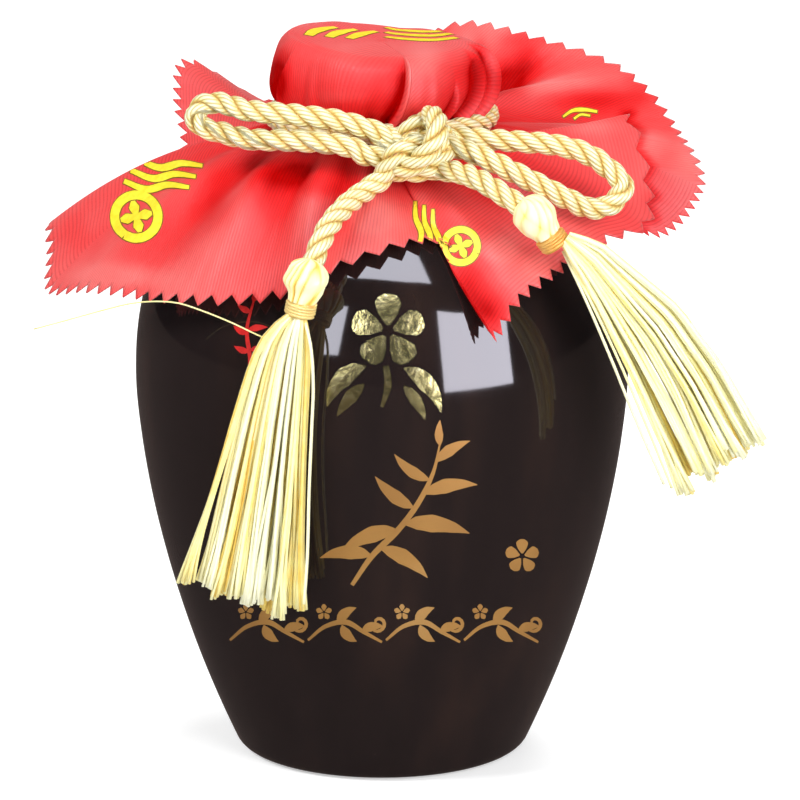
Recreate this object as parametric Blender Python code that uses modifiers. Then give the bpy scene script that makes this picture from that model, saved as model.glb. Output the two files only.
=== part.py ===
"""Glazed ceramic wine jar with a stopper, a gathered square cloth cover and a corded bow with two tassels.

Metres, +Z up. The origin is the centre of the jar's flat foot. The bow is at the front, towards -Y.
"""

import math

import bmesh
import bpy
import numpy as np
from mathutils import Matrix, Vector

# Jar
BELLY_RADIUS = 0.0614
BELLY_HEIGHT = 0.096
SHOULDER_RISE = 0.058
FOOT_FLAT_RADIUS = 0.0325
FOOT_EDGE_RADIUS = 0.005
JAR_WALL = 0.005
JAR_BASE = 0.006
NECK_RADIUS = 0.0207
NECK_RISE = 0.014
NECK_FILLET = 0.003
BORE_RADIUS = 0.015
LIP_OVERHANG = 0.0012
LIP_THICKNESS = 0.0035
LIP_EDGE_RADIUS = 0.0011

# Stopper
STOPPER_CAP_THICKNESS = 0.010
STOPPER_EDGE_RADIUS = 0.0015
SHANK_LENGTH = 0.014
SHANK_RADIUS = 0.0118
SHANK_CHAMFER = 0.001
SLEEVE_WALL = 0.0017
SLEEVE_LENGTH = 0.011
SLEEVE_RIB_RISE = 0.0009
SLEEVE_RIBS = 3

# Cloth
CLOTH_HALF_WIDTH = 0.085
CLOTH_THICKNESS = 0.0008
CLOTH_JAR_GAP = 0.0012
CROWN_PUFF = 0.0045
CROWN_PLEAT_DEPTH = 0.0007
CROWN_PLEATS = 15
CROWN_SWELL = 0.0030
CROWN_SWELL_AZIMUTH = 168.0
TIE_SLACK = 0.0003

# Cord and bow
CORD_DIAMETER = 0.0055
TIE_DROP = 0.007
KNOT_AZIMUTH = 279.8
KNOT_WIDTH = 0.0166
KNOT_DEPTH = 0.0136
KNOT_HEIGHT = 0.0136
KNOT_DROP = 0.0006
KNOT_BITE = 0.0012
KNOT_STUB_LENGTH = 0.0080
KNOT_CORE_ANGLE = 13.0

# Tassels
TASSEL_HEAD_RADIUS = 0.0050
TASSEL_NECK_RADIUS = 0.0033
TASSEL_NECK_DROP = 0.0056
BAND_BORE_RADIUS = 0.0030
BAND_RADIUS = 0.0037
BAND_LENGTH = 0.0031
BAND_WIRES = 4
BAND_WIRE_GROOVE = 0.0003
SKIRT_ROOT_RADIUS = 0.0040
SKIRT_FLARE = 0.0020
SKIRT_END_DROP = 0.080
SKIRT_END_DEPTH = 0.0090
SKIRT_FRINGE = 0.0030
STRAND_GAP = 0.00016
STRAND_FILL_SHARE = 0.62
STRAND_GRID = (8, 10)
LEFT_HEAD_AZIMUTH = 254.4
LEFT_HEAD_DROP = 0.0275
LEFT_SKIRT_WIDTH = 0.030
LEFT_LEAN_SHARES = (0.0, -0.20)
RIGHT_HEAD_AZIMUTH = 302.6
RIGHT_HEAD_DROP = 0.0136
RIGHT_SKIRT_WIDTH = 0.024
RIGHT_LEAN_SHARES = (0.29, 0.654)
HEAD_CLOTH_GAP = 0.0012
RIGHT_HEAD_STANDOFF = 0.0026

# Clearances
FIT_GAP = 0.0003
SEAL_GAP = 0.0003
RING_END_GAP = 0.0008

# Facets
JAR_STEPS = 48
STOPPER_STEPS = 36
TASSEL_STEPS = 20
CORD_RESOLUTION = 2

# Heights and radii that follow from the sizes above
SHOULDER_POWER = 2.4
NECK_ROOT_HEIGHT = BELLY_HEIGHT + SHOULDER_RISE
JAR_HEIGHT = NECK_ROOT_HEIGHT + NECK_RISE
LIP_RADIUS = NECK_RADIUS + LIP_OVERHANG
STOPPER_CAP_RADIUS = LIP_RADIUS
STOPPER_SEAT_HEIGHT = JAR_HEIGHT + FIT_GAP
STOPPER_TOP_HEIGHT = STOPPER_SEAT_HEIGHT + STOPPER_CAP_THICKNESS
CORD_RADIUS = CORD_DIAMETER / 2
HALF_CLOTH = CLOTH_THICKNESS / 2
TIE_RADIUS = LIP_RADIUS + FIT_GAP + HALF_CLOTH + TIE_SLACK
TIE_HEIGHT = JAR_HEIGHT - TIE_DROP
CROWN_HEIGHT = STOPPER_TOP_HEIGHT + FIT_GAP + HALF_CLOTH
CORD_RING_RADIUS = TIE_RADIUS + HALF_CLOTH + FIT_GAP + CORD_RADIUS
SKIRT_HEIGHT = TIE_HEIGHT - CORD_RADIUS - FIT_GAP - CLOTH_THICKNESS

# The jar's side from foot to belly: share of the belly radius, share of the belly height
SIDE_SHARES = (
    (0.655, 0.104),
    (0.722, 0.208),
    (0.808, 0.365),
    (0.879, 0.521),
    (0.937, 0.677),
    (0.978, 0.833),
    (1.0, 1.0),
)

# The cloth's hem, once round from the front left corner. Each row has the angle in the flat cloth, the angle
# where that ray leaves the tie, the angle where it reaches the hem, the hem's radius and its rise over the
# start of the skirt as shares of the cloth's half side, how much the flap domes (1 is a straight slope) and how
# far it sags halfway, as a share of the half side.
HEM_SHARES = (
    (200, 196.0, 191.8, 0.981, -0.427, 1.75, 0.000),
    (207, 202.0, 200.5, 0.918, -0.402, 1.7, 0.000),
    (215, 210.0, 210.9, 0.869, -0.379, 1.6, 0.000),
    (230, 226.0, 228.9, 0.780, -0.381, 1.6, 0.000),
    (245, 243.0, 248.5, 0.700, -0.335, 1.5, 0.000),
    (255, 254.0, 260.0, 0.660, -0.262, 1.3, 0.000),
    (264, 264.0, 277.6, 0.593, -0.211, 1.1, 0.008),
    (272, 271.5, 289.0, 0.588, -0.220, 1.0, 0.008),
    (281, 276.0, 297.5, 0.635, -0.290, 1.05, 0.006),
    (290, 276.6, 293.7, 0.771, -0.456, 1.2, 0.000),
    (297, 285.0, 300.5, 0.764, -0.362, 1.25, 0.000),
    (304, 294.0, 309.0, 0.765, -0.302, 1.35, 0.000),
    (318, 312.0, 325.2, 0.782, -0.227, 1.6, 0.000),
    (325, 322.0, 339.0, 0.819, -0.213, 1.7, 0.000),
    (331, 331.0, 348.5, 0.788, -0.138, 1.5, 0.000),
    (340, 342.0, 361.9, 0.711, 0.035, 1.3, 0.000),
    (348, 349.0, 364.0, 0.659, -0.108, 1.3, 0.000),
    (356, 353.0, 362.0, 0.706, -0.267, 1.4, 0.000),
    (366, 357.0, 363.3, 0.827, -0.320, 1.5, 0.000),
    (380, 372.0, 367.1, 0.941, -0.198, 1.4, 0.000),
    (388, 383.0, 377.0, 0.936, -0.102, 1.4, 0.000),
    (398, 395.0, 389.0, 0.935, 0.006, 1.4, 0.000),
    (408, 406.0, 400.0, 0.900, 0.088, 1.4, 0.000),
    (418, 417.0, 412.0, 0.829, 0.141, 1.4, 0.000),
    (428, 428.0, 423.0, 0.776, 0.170, 1.4, 0.000),
    (438, 439.0, 435.0, 0.747, 0.176, 1.4, 0.000),
    (448, 450.0, 448.0, 0.729, 0.090, 1.4, 0.000),
    (458, 461.0, 463.0, 0.765, -0.030, 1.4, 0.020),
    (464, 467.0, 476.0, 0.815, -0.060, 1.4, 0.060),
    (470, 474.0, 489.5, 0.914, 0.071, 1.4, 0.085),
    (478, 482.0, 496.0, 0.859, -0.020, 1.4, 0.075),
    (487, 490.0, 500.1, 0.776, -0.138, 1.4, 0.050),
    (502, 504.0, 511.0, 0.706, -0.285, 1.5, 0.015),
    (518, 519.0, 522.0, 0.729, -0.361, 1.5, 0.000),
    (534, 534.0, 531.0, 0.859, -0.349, 1.7, 0.000),
    (547, 545.0, 537.2, 0.967, -0.285, 1.95, 0.000),
    (554, 551.0, 544.9, 0.969, -0.349, 1.95, 0.000),
)
WIDE_STATION = 12.5

# The crown between tie and top: share of the puff over the tie radius, share of the rise from tie to top,
# share of the pleats' depth
CROWN_SHARES = (
    (0.52, 0.965, 0.0),
    (0.88, 0.745, 0.7),
    (1.0, 0.54, 1.0),
    (0.74, 0.285, 0.7),
)
SKIRT_SHARES = (0.27, 0.52, 0.77, 1.0)

# How much of the swell on the crown's left each ring takes, from the top's edge down
SWELL_SHARES = (0.85, 1.0, 0.45, 0.15, 0.0)

# The bow's loops, in cord diameters from the knot's centre
LEFT_LOOP_SHARES = (
    (-1.62, -0.09, 0.66),
    (-2.31, -0.15, 0.89),
    (-3.05, -0.15, 1.07),
    (-4.91, 0.13, 1.27),
    (-7.11, 0.76, 1.38),
    (-8.31, 1.31, 1.58),
    (-8.91, 1.47, 1.47),
    (-9.31, 1.44, 0.98),
    (-8.91, 1.25, 0.47),
    (-8.31, 1.00, 0.36),
    (-7.11, 0.40, 0.17),
    (-4.91, -0.33, 0.20),
    (-3.05, -0.75, 0.12),
    (-2.31, -0.75, -0.04),
    (-1.93, -0.68, -0.31),
)
RIGHT_LOOP_SHARES = (
    (1.98, 0.45, 0.24),
    (3.35, 0.13, 0.18),
    (5.09, -0.33, 0.15),
    (6.58, -0.51, 0.04),
    (7.98, -0.60, -0.36),
    (8.98, -0.60, -1.07),
    (9.55, -0.69, -1.76),
    (8.98, -0.96, -2.53),
    (8.05, -1.33, -2.62),
    (7.13, -1.69, -2.16),
    (6.02, -1.87, -1.56),
    (4.91, -1.87, -1.00),
    (3.64, -1.51, -0.42),
    (2.44, -0.91, -0.05),
    (1.93, -0.67, 0.05),
)

# The turn of cord that crosses the knot's front and runs out as the left tail, in cord diameters from its centre
WRAP_SHARES = (
    (0.70, 0.65, 0.95),
    (0.92, -0.05, 1.22),
    (0.78, -0.80, 0.95),
    (0.38, -1.22, 0.40),
    (-0.10, -1.32, -0.22),
    (-0.55, -1.22, -0.75),
)

# The tails, as shares of the way from the knot's centre to the tassel's head, along X, Y and Z
LEFT_TAIL_SHARES = (
    (0.26, 0.23, 0.28),
    (0.44, 0.34, 0.37),
    (0.64, 0.57, 0.47),
    (0.80, 0.78, 0.61),
    (0.89, 0.91, 0.77),
    (1.0, 1.0, 1.0),
)
RIGHT_TAIL_SHARES = (
    (0.24, 0.25, 0.40),
    (0.41, 0.48, 0.37),
    (0.59, 0.72, 0.45),
    (0.76, 0.88, 0.65),
    (1.0, 1.0, 1.0),
)


def clear_scene():
    for old in list(bpy.data.objects):
        bpy.data.objects.remove(old, do_unlink=True)


clear_scene()
PARTS = bpy.data.collections.new("ceramic_wine_jar")
CUTTERS = bpy.data.collections.new("cutters")
bpy.context.scene.collection.children.link(PARTS)
bpy.context.scene.collection.children.link(CUTTERS)


def material(name, colour, roughness, metallic=0.0):
    made = bpy.data.materials.new(name)
    made.use_nodes = True
    shader = made.node_tree.nodes["Principled BSDF"]
    shader.inputs["Base Color"].default_value = (*colour, 1.0)
    shader.inputs["Roughness"].default_value = roughness
    shader.inputs["Metallic"].default_value = metallic
    return made


GLAZE = material("dark_glaze", (0.012, 0.007, 0.006), 0.08)
WOOD = material("turned_wood", (0.55, 0.36, 0.19), 0.55)
SILICONE = material("silicone", (0.85, 0.84, 0.80), 0.45)
SATIN = material("red_satin", (0.80, 0.03, 0.03), 0.40)
CORD_YARN = material("pale_gold_cord", (0.93, 0.80, 0.42), 0.45)
TASSEL_YARN = material("pale_gold_yarn", (0.95, 0.85, 0.50), 0.50)
BAND_WIRE = material("gold_wire", (0.90, 0.50, 0.12), 0.30, 0.7)


def place(made, finish, parent=None, collection=PARTS):
    collection.objects.link(made)
    made.data.materials.append(finish)
    made.parent = parent
    return made


def pivot(name, where, parent=None):
    empty = bpy.data.objects.new(name, None)
    PARTS.objects.link(empty)
    empty.matrix_world = where
    if parent:
        empty.parent = parent
        empty.matrix_parent_inverse = parent.matrix_world.inverted()
        empty.matrix_world = where
    return empty


def smooth(made, angle=math.radians(40)):
    made.data.shade_smooth()
    made.data.set_sharp_from_angle(angle=angle)
    return made


def turned(name, profile, steps, finish, parent=None, closed=False):
    """A solid turned about Z from a profile of (radius, height) that runs down its outer side."""
    mesh = bpy.data.meshes.new(name)
    points = [(radius, 0.0, height) for radius, height in profile]
    edges = [(i, i + 1) for i in range(len(points) - 1)]
    if closed:
        edges.append((len(points) - 1, 0))
    mesh.from_pydata(points, edges, [])
    made = place(bpy.data.objects.new(name, mesh), finish, parent)
    screw = made.modifiers.new("turn", "SCREW")
    screw.steps = steps
    screw.render_steps = steps
    screw.use_merge_vertices = True
    screw.merge_threshold = 1e-6
    screw.use_smooth_shade = True
    return made


def arc(centre, radius, start, end, count):
    """Points of (radius, height) on a round edge, from one angle to another in degrees."""
    angles = np.radians(np.linspace(start, end, count))
    return [(centre[0] + radius * math.cos(a), centre[1] + radius * math.sin(a)) for a in angles]


def curve_through(points, per_span):
    """Points on a smooth curve through all the given points."""
    knots = [Vector(p) for p in points]
    ends = [2 * knots[0] - knots[1]] + knots + [2 * knots[-1] - knots[-2]]
    found = []
    for before, start, end, after in zip(ends, ends[1:], ends[2:], ends[3:]):
        for step in range(per_span):
            t = step / per_span
            pull = (end - before) * (t - 2 * t**2 + t**3) / 2 + (after - start) * (t**3 - t**2) / 2
            found.append(start * (1 - 3 * t**2 + 2 * t**3) + end * (3 * t**2 - 2 * t**3) + pull)
    return found + [knots[-1]]


def tube(name, points, radius, finish, parent=None, collection=PARTS):
    """A capped round tube along the points, which are in world places."""
    path = bpy.data.curves.new(name, "CURVE")
    path.dimensions = "3D"
    path.bevel_depth = radius
    path.bevel_resolution = CORD_RESOLUTION
    path.use_fill_caps = True
    spline = path.splines.new("POLY")
    spline.points.add(len(points) - 1)
    for point, where in zip(spline.points, points):
        point.co = (*where, 1.0)
        point.radius = 1.0
    made = place(bpy.data.objects.new(name, path), finish, parent, collection)
    if parent:
        made.matrix_parent_inverse = parent.matrix_world.inverted()
    return made


def as_mesh(curve):
    """A mesh object in place of a curve, with its caps welded."""
    graph = bpy.context.evaluated_depsgraph_get()
    mesh = bpy.data.meshes.new_from_object(curve.evaluated_get(graph))
    bm = bmesh.new()
    bm.from_mesh(mesh)
    bmesh.ops.remove_doubles(bm, verts=bm.verts, dist=1e-7)
    bmesh.ops.recalc_face_normals(bm, faces=bm.faces)
    bm.to_mesh(mesh)
    bm.free()
    made = bpy.data.objects.new(curve.name + "_solid", mesh)
    made.matrix_world = curve.matrix_world
    bpy.data.objects.remove(curve, do_unlink=True)
    CUTTERS.objects.link(made)
    return made


def join_to(made, other):
    union = made.modifiers.new(other.name, "BOOLEAN")
    union.operation = "UNION"
    union.solver = "EXACT"
    union.use_self = True
    union.object = other
    other.hide_render = True
    other.display_type = "WIRE"


def around(azimuth, radius, height):
    angle = math.radians(azimuth)
    return Vector((radius * math.cos(angle), radius * math.sin(angle), height))


# Jar


def shoulder_height(radius, widen=0.0):
    """Height of the shoulder's outside, or of a skin spaced out from it, at this radius."""
    share = min(radius / (BELLY_RADIUS + widen), 1.0)
    return BELLY_HEIGHT + (SHOULDER_RISE + widen) * (1 - share**SHOULDER_POWER) ** (1 / SHOULDER_POWER)


def shoulder_arc(inset, neck_radius, count):
    """Points down the shoulder, from the neck to just above the belly."""
    radius, rise = BELLY_RADIUS - inset, SHOULDER_RISE - inset
    first = math.asin((neck_radius / radius) ** (SHOULDER_POWER / 2))
    points = []
    for angle in np.linspace(first, math.pi / 2, count)[:-1]:
        out = math.sin(angle) ** (2 / SHOULDER_POWER)
        up = math.cos(angle) ** (2 / SHOULDER_POWER)
        points.append((radius * out, BELLY_HEIGHT + rise * up))
    return points


def jar_profile():
    root = NECK_RADIUS + NECK_FILLET
    lip_base = JAR_HEIGHT - LIP_THICKNESS
    inner_foot = SIDE_SHARES[0][0] * BELLY_RADIUS - JAR_WALL
    bore = [(BORE_RADIUS, JAR_HEIGHT - LIP_EDGE_RADIUS)]
    bore += [(BORE_RADIUS + LIP_EDGE_RADIUS, JAR_HEIGHT)]
    inside = shoulder_arc(JAR_WALL, BORE_RADIUS, 9)[::-1]
    inner_side = [(share * BELLY_RADIUS - JAR_WALL, up * BELLY_HEIGHT) for share, up in SIDE_SHARES]
    inner_base = [(0.0, JAR_BASE), (inner_foot - JAR_WALL, JAR_BASE)]
    lip_edge = arc((LIP_RADIUS - LIP_EDGE_RADIUS, JAR_HEIGHT - LIP_EDGE_RADIUS), LIP_EDGE_RADIUS, 90, 0, 3)
    lip_under = [(LIP_RADIUS, lip_base + LIP_EDGE_RADIUS), (NECK_RADIUS, lip_base)]
    fillet = arc((root, shoulder_height(root) + NECK_FILLET), NECK_FILLET, 180, 240, 3)
    outside = shoulder_arc(0.0, root, 11)
    side = [(share * BELLY_RADIUS, up * BELLY_HEIGHT) for share, up in SIDE_SHARES[::-1]]
    foot = arc((FOOT_FLAT_RADIUS, FOOT_EDGE_RADIUS), FOOT_EDGE_RADIUS, -20, -90, 4)
    inner = inner_base + inner_side[1:] + inside + bore
    return inner + lip_edge + lip_under + fillet + outside + side + foot + [(0.0, 0.0)]


turned("jar_body", jar_profile(), JAR_STEPS, GLAZE)

# Stopper

STOPPER_PIVOT = pivot("stopper_lift_axis", Matrix.Translation((0, 0, STOPPER_SEAT_HEIGHT)))
SLEEVE_TOP = -FIT_GAP
SLEEVE_BORE = SHANK_RADIUS + FIT_GAP
SLEEVE_OUTER = SLEEVE_BORE + SLEEVE_WALL
RIB_RADIUS = min(SLEEVE_OUTER + SLEEVE_RIB_RISE, BORE_RADIUS - SEAL_GAP)


def stopper_profile():
    edge = STOPPER_EDGE_RADIUS
    top = [(0.0, STOPPER_CAP_THICKNESS)]
    rim = arc((STOPPER_CAP_RADIUS - edge, STOPPER_CAP_THICKNESS - edge), edge, 90, 0, 4)
    under = [(STOPPER_CAP_RADIUS, edge / 2), (STOPPER_CAP_RADIUS - edge / 2, 0.0)]
    shank = [(SHANK_RADIUS, 0.0), (SHANK_RADIUS, SHANK_CHAMFER - SHANK_LENGTH)]
    end = [(SHANK_RADIUS - SHANK_CHAMFER, -SHANK_LENGTH), (0.0, -SHANK_LENGTH)]
    return top + rim + under + shank + end


def sleeve_profile():
    pitch = SLEEVE_LENGTH / SLEEVE_RIBS
    points = [(SLEEVE_BORE, SLEEVE_TOP), (SLEEVE_OUTER, SLEEVE_TOP)]
    for rib in range(SLEEVE_RIBS):
        start = SLEEVE_TOP - rib * pitch
        points.append((SLEEVE_OUTER, start - pitch / 4))
        points.append((RIB_RADIUS, start - pitch / 2))
        points.append((SLEEVE_OUTER, start - pitch * 3 / 4))
    points.append((SLEEVE_OUTER, SLEEVE_TOP - SLEEVE_LENGTH))
    points.append((SLEEVE_BORE, SLEEVE_TOP - SLEEVE_LENGTH))
    return points


turned("stopper_plug", stopper_profile(), STOPPER_STEPS, WOOD, STOPPER_PIVOT)
turned("stopper_sleeve", sleeve_profile(), STOPPER_STEPS, SILICONE, STOPPER_PIVOT, closed=True)

# Cloth

COVER_PIVOT = pivot("cover_lift_axis", Matrix.Translation((0, 0, TIE_HEIGHT)))


def hem_at(turn):
    """The hem's row at an angle of the flat cloth, on a smooth curve through the stations."""
    rows = np.array(HEM_SHARES, float)
    whole = np.array([360.0, 360.0, 360.0, 0.0, 0.0, 0.0, 0.0])
    rows = np.vstack([rows[-2:] - whole, rows, rows[:2] + whole])
    turn = rows[2, 0] + (turn - rows[2, 0]) % whole[0]
    at = int(np.searchsorted(rows[:, 0], turn, side="right")) - 1
    before, start, end, after = rows[at - 1], rows[at], rows[at + 1], rows[at + 2]
    span = end[0] - start[0]
    t = (turn - start[0]) / span
    leave = (end - before) / (end[0] - before[0]) * span
    arrive = (after - start) / (after[0] - start[0]) * span
    hold = start * (1 - 3 * t**2 + 2 * t**3) + end * (3 * t**2 - 2 * t**3)
    return hold + leave * (t - 2 * t**2 + t**3) + arrive * (t**3 - t**2)


def skirt_point(turn, share):
    """A place on the skirt's middle surface, from the tie (share 0) to the hem (share 1)."""
    _, tie_angle, hem_angle, reach, rise, dome, sag = hem_at(turn)
    radius = CORD_RING_RADIUS + (reach * CLOTH_HALF_WIDTH - CORD_RING_RADIUS) * share
    fall = rise * share**dome - sag * 4 * share * (1 - share)
    height = SKIRT_HEIGHT + fall * CLOTH_HALF_WIDTH
    clear = shoulder_height(radius, CLOTH_JAR_GAP + HALF_CLOTH)
    return around(tie_angle + (hem_angle - tie_angle) * share, radius, max(height, clear))


def crown_rings():
    """Rings of (radius, height, pleat share) from the flat top down to the start of the skirt."""
    rise = CROWN_HEIGHT - TIE_HEIGHT
    flat = STOPPER_CAP_RADIUS - STOPPER_EDGE_RADIUS
    rings = [(flat, CROWN_HEIGHT, 0.0)]
    rings += [(TIE_RADIUS + puff * CROWN_PUFF, TIE_HEIGHT + up * rise, deep) for puff, up, deep in CROWN_SHARES]
    beside = CORD_RADIUS + HALF_CLOTH + FIT_GAP
    neck_top = TIE_HEIGHT + beside / math.sqrt(2)
    neck_out = CORD_RING_RADIUS - beside
    rings.append((neck_out + CLOTH_THICKNESS, neck_top, 0.0))
    rings.append((neck_out, TIE_HEIGHT, 0.0))
    rings.append((neck_out + CLOTH_THICKNESS, TIE_HEIGHT - beside / math.sqrt(2), 0.0))
    return rings


def cloth_columns():
    """The angles of the flat cloth at which it is drawn: each station, and one between where they lie wide."""
    stations = [row[0] for row in HEM_SHARES]
    turns = []
    for start, end in zip(stations, stations[1:] + [stations[0] + 360]):
        turns.append(start)
        if end - start > WIDE_STATION:
            turns.append((start + end) / 2)
    return turns


def draped(turns, rings, ring, column):
    """Where a point of the flat pattern lies once the cloth is tied on."""
    if ring < len(rings):
        radius, height, deep = rings[ring]
        azimuth = hem_at(turns[column])[1]
        pleat = math.cos(math.radians(azimuth * CROWN_PLEATS))
        swell = CROWN_SWELL * max(0.0, math.cos(math.radians(azimuth - CROWN_SWELL_AZIMUTH)))
        height += swell * SWELL_SHARES[min(ring, len(SWELL_SHARES) - 1)]
        return around(azimuth, radius + deep * CROWN_PLEAT_DEPTH * pleat, height)
    shares = (0.0,) + SKIRT_SHARES
    return skirt_point(turns[column], shares[ring - len(rings)])


def make_cloth():
    turns, rings = cloth_columns(), crown_rings()
    count, last = len(turns), len(rings) + len(SKIRT_SHARES) + 1
    bm = bmesh.new()
    bmesh.ops.create_circle(bm, cap_ends=True, cap_tris=True, segments=count, radius=1.0)
    for ring in range(1, last):
        rim = [edge for edge in bm.edges if edge.is_boundary]
        grown = bmesh.ops.extrude_edge_only(bm, edges=rim)["geom"]
        fresh = [item for item in grown if isinstance(item, bmesh.types.BMVert)]
        bmesh.ops.scale(bm, verts=fresh, vec=Vector.Fill(3, (ring + 1) / ring))
    for vert in bm.verts:
        flat = vert.co.xy
        ring = round(flat.length) - 1
        if ring < 0:
            vert.co = (0.0, 0.0, CROWN_HEIGHT)
            continue
        column = round(math.atan2(flat.y, flat.x) / math.tau * count) % count
        vert.co = draped(turns, rings, ring, column)
    bmesh.ops.recalc_face_normals(bm, faces=bm.faces)
    mesh = bpy.data.meshes.new("cover_cloth")
    bm.to_mesh(mesh)
    bm.free()
    made = place(bpy.data.objects.new("cover_cloth", mesh), SATIN, COVER_PIVOT)
    made.matrix_parent_inverse = COVER_PIVOT.matrix_world.inverted()
    shell = made.modifiers.new("cloth", "SOLIDIFY")
    shell.thickness = CLOTH_THICKNESS
    shell.offset = 0.0
    shell.use_even_offset = False
    smooth(made)


make_cloth()

# Cord and bow

KNOT = around(
    KNOT_AZIMUTH,
    CORD_RING_RADIUS + CORD_RADIUS + KNOT_DEPTH / 2 - KNOT_BITE,
    TIE_HEIGHT - KNOT_DROP,
)


def hem_reach_near(azimuth):
    """The cloth's widest reach close to an azimuth, which a hanging head has to clear."""
    reaches = []
    for turn in cloth_columns():
        row = hem_at(turn)
        if abs((row[2] - azimuth + 180) % 360 - 180) < 6:
            reaches.append(row[3])
    return max(reaches) * CLOTH_HALF_WIDTH + HALF_CLOTH


def left_head():
    past_hem = hem_reach_near(LEFT_HEAD_AZIMUTH) + HEAD_CLOTH_GAP + TASSEL_HEAD_RADIUS
    past_belly = BELLY_RADIUS + SKIRT_END_DEPTH / 2
    return around(LEFT_HEAD_AZIMUTH, max(past_hem, past_belly), TIE_HEIGHT - LEFT_HEAD_DROP)


def right_head():
    reach = hem_reach_near(RIGHT_HEAD_AZIMUTH) + RIGHT_HEAD_STANDOFF
    return around(RIGHT_HEAD_AZIMUTH, reach, TIE_HEIGHT - RIGHT_HEAD_DROP)


LEFT_HEAD = left_head()
RIGHT_HEAD = right_head()


def loop_route(shares):
    return curve_through([KNOT + Vector(point) * CORD_DIAMETER for point in shares], 2)


def tail_route(shares, head):
    """From the knot to where the cord meets the tassel's round head."""
    way = head - KNOT
    points = [KNOT + Vector(point) * way for point in shares]
    points[-1] += (points[-2] - points[-1]).normalized() * (TASSEL_HEAD_RADIUS + FIT_GAP)
    return curve_through(points, 2)


def neck_route():
    open_half = KNOT_CORE_ANGLE + math.degrees(RING_END_GAP / CORD_RING_RADIUS)
    start, end = KNOT_AZIMUTH + open_half, KNOT_AZIMUTH + 360 - open_half
    return [around(azimuth, CORD_RING_RADIUS, TIE_HEIGHT) for azimuth in np.linspace(start, end, 36)]


ROUTES = {
    "neck_cord": neck_route(),
    "bow_loop_left": loop_route(LEFT_LOOP_SHARES),
    "bow_loop_right": loop_route(RIGHT_LOOP_SHARES),
    "cord_tail_left": tail_route(LEFT_TAIL_SHARES, LEFT_HEAD),
    "cord_tail_right": tail_route(RIGHT_TAIL_SHARES, RIGHT_HEAD),
}
for cord_name, route in ROUTES.items():
    tube(cord_name, route, CORD_RADIUS, CORD_YARN, COVER_PIVOT)


def least_gap(points):
    """The least gap of a looped cord to itself, measured between points over two diameters apart along it."""
    steps = [0.0]
    for start, end in zip(points, points[1:]):
        steps.append(steps[-1] + (end - start).length)
    gaps = []
    for i, here in enumerate(points):
        for j in range(i + 1, len(points)):
            if steps[j] - steps[i] > 2 * CORD_DIAMETER:
                gaps.append((points[j] - here).length - CORD_DIAMETER)
    return min(gaps)


for cord_name in ("bow_loop_left", "bow_loop_right"):
    print(cord_name, "least gap to itself in mm:", round(least_gap(ROUTES[cord_name]) * 1000, 2))


def knot_stub(name, point, towards):
    """The short end of a cord that shows between the knot and the free stretch that starts at the point."""
    back = (point - towards).normalized()
    end = point + back * FIT_GAP
    return as_mesh(tube(name, [end + back * KNOT_STUB_LENGTH, end], CORD_RADIUS, CORD_YARN, None, CUTTERS))


def make_knot():
    mesh = bpy.data.meshes.new("bow_knot")
    bm = bmesh.new()
    bmesh.ops.create_uvsphere(bm, u_segments=20, v_segments=10, radius=0.5)
    bmesh.ops.scale(bm, verts=bm.verts, vec=(KNOT_WIDTH, KNOT_DEPTH, KNOT_HEIGHT))
    bmesh.ops.rotate(bm, verts=bm.verts, matrix=Matrix.Rotation(math.radians(KNOT_AZIMUTH - 270), 3, "Z"))
    bmesh.ops.translate(bm, verts=bm.verts, vec=KNOT)
    bm.to_mesh(mesh)
    bm.free()
    knot = place(bpy.data.objects.new("bow_knot", mesh), CORD_YARN, COVER_PIVOT)
    knot.matrix_parent_inverse = COVER_PIVOT.matrix_world.inverted()
    tail, beyond = ROUTES["cord_tail_left"][:2]
    back = (tail - beyond).normalized()
    wrap = [KNOT + Vector(point) * CORD_DIAMETER for point in WRAP_SHARES]
    wrap = curve_through(wrap + [tail + back * CORD_RADIUS], 2) + [tail + back * FIT_GAP]
    join_to(knot, as_mesh(tube("knot_wrap", wrap, CORD_RADIUS, CORD_YARN, None, CUTTERS)))
    angles = np.linspace(-KNOT_CORE_ANGLE, KNOT_CORE_ANGLE, 5)
    core = [around(KNOT_AZIMUTH + angle, CORD_RING_RADIUS, TIE_HEIGHT) for angle in angles]
    join_to(knot, as_mesh(tube("knot_core", core, CORD_RADIUS, CORD_YARN, None, CUTTERS)))
    for loop in ("bow_loop_left", "bow_loop_right"):
        route = ROUTES[loop]
        join_to(knot, knot_stub(loop + "_start", route[0], route[1]))
        join_to(knot, knot_stub(loop + "_end", route[-1], route[-2]))
    tail = ROUTES["cord_tail_right"]
    join_to(knot, knot_stub("cord_tail_right_start", tail[0], tail[1]))


make_knot()

# Tassels


def head_profile():
    ball = arc((0.0, 0.0), TASSEL_HEAD_RADIUS, 90, -25, 9)
    ball[0] = (0.0, TASSEL_HEAD_RADIUS)
    waist = TASSEL_NECK_RADIUS + (TASSEL_HEAD_RADIUS - TASSEL_NECK_RADIUS) / 3
    neck = [(waist, -TASSEL_NECK_DROP * 2 / 3), (TASSEL_NECK_RADIUS, -TASSEL_NECK_DROP)]
    return ball + neck + [(0.0, -TASSEL_NECK_DROP)]


def band_profile():
    top = -TASSEL_NECK_DROP - FIT_GAP
    pitch = BAND_LENGTH / BAND_WIRES
    points = [(BAND_BORE_RADIUS, top)]
    for wire in range(BAND_WIRES):
        start = top - wire * pitch
        points.append((BAND_RADIUS - BAND_WIRE_GROOVE, start))
        points.append((BAND_RADIUS, start - pitch / 2))
    points.append((BAND_RADIUS - BAND_WIRE_GROOVE, top - BAND_LENGTH))
    points.append((BAND_BORE_RADIUS, top - BAND_LENGTH))
    return points


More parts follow.
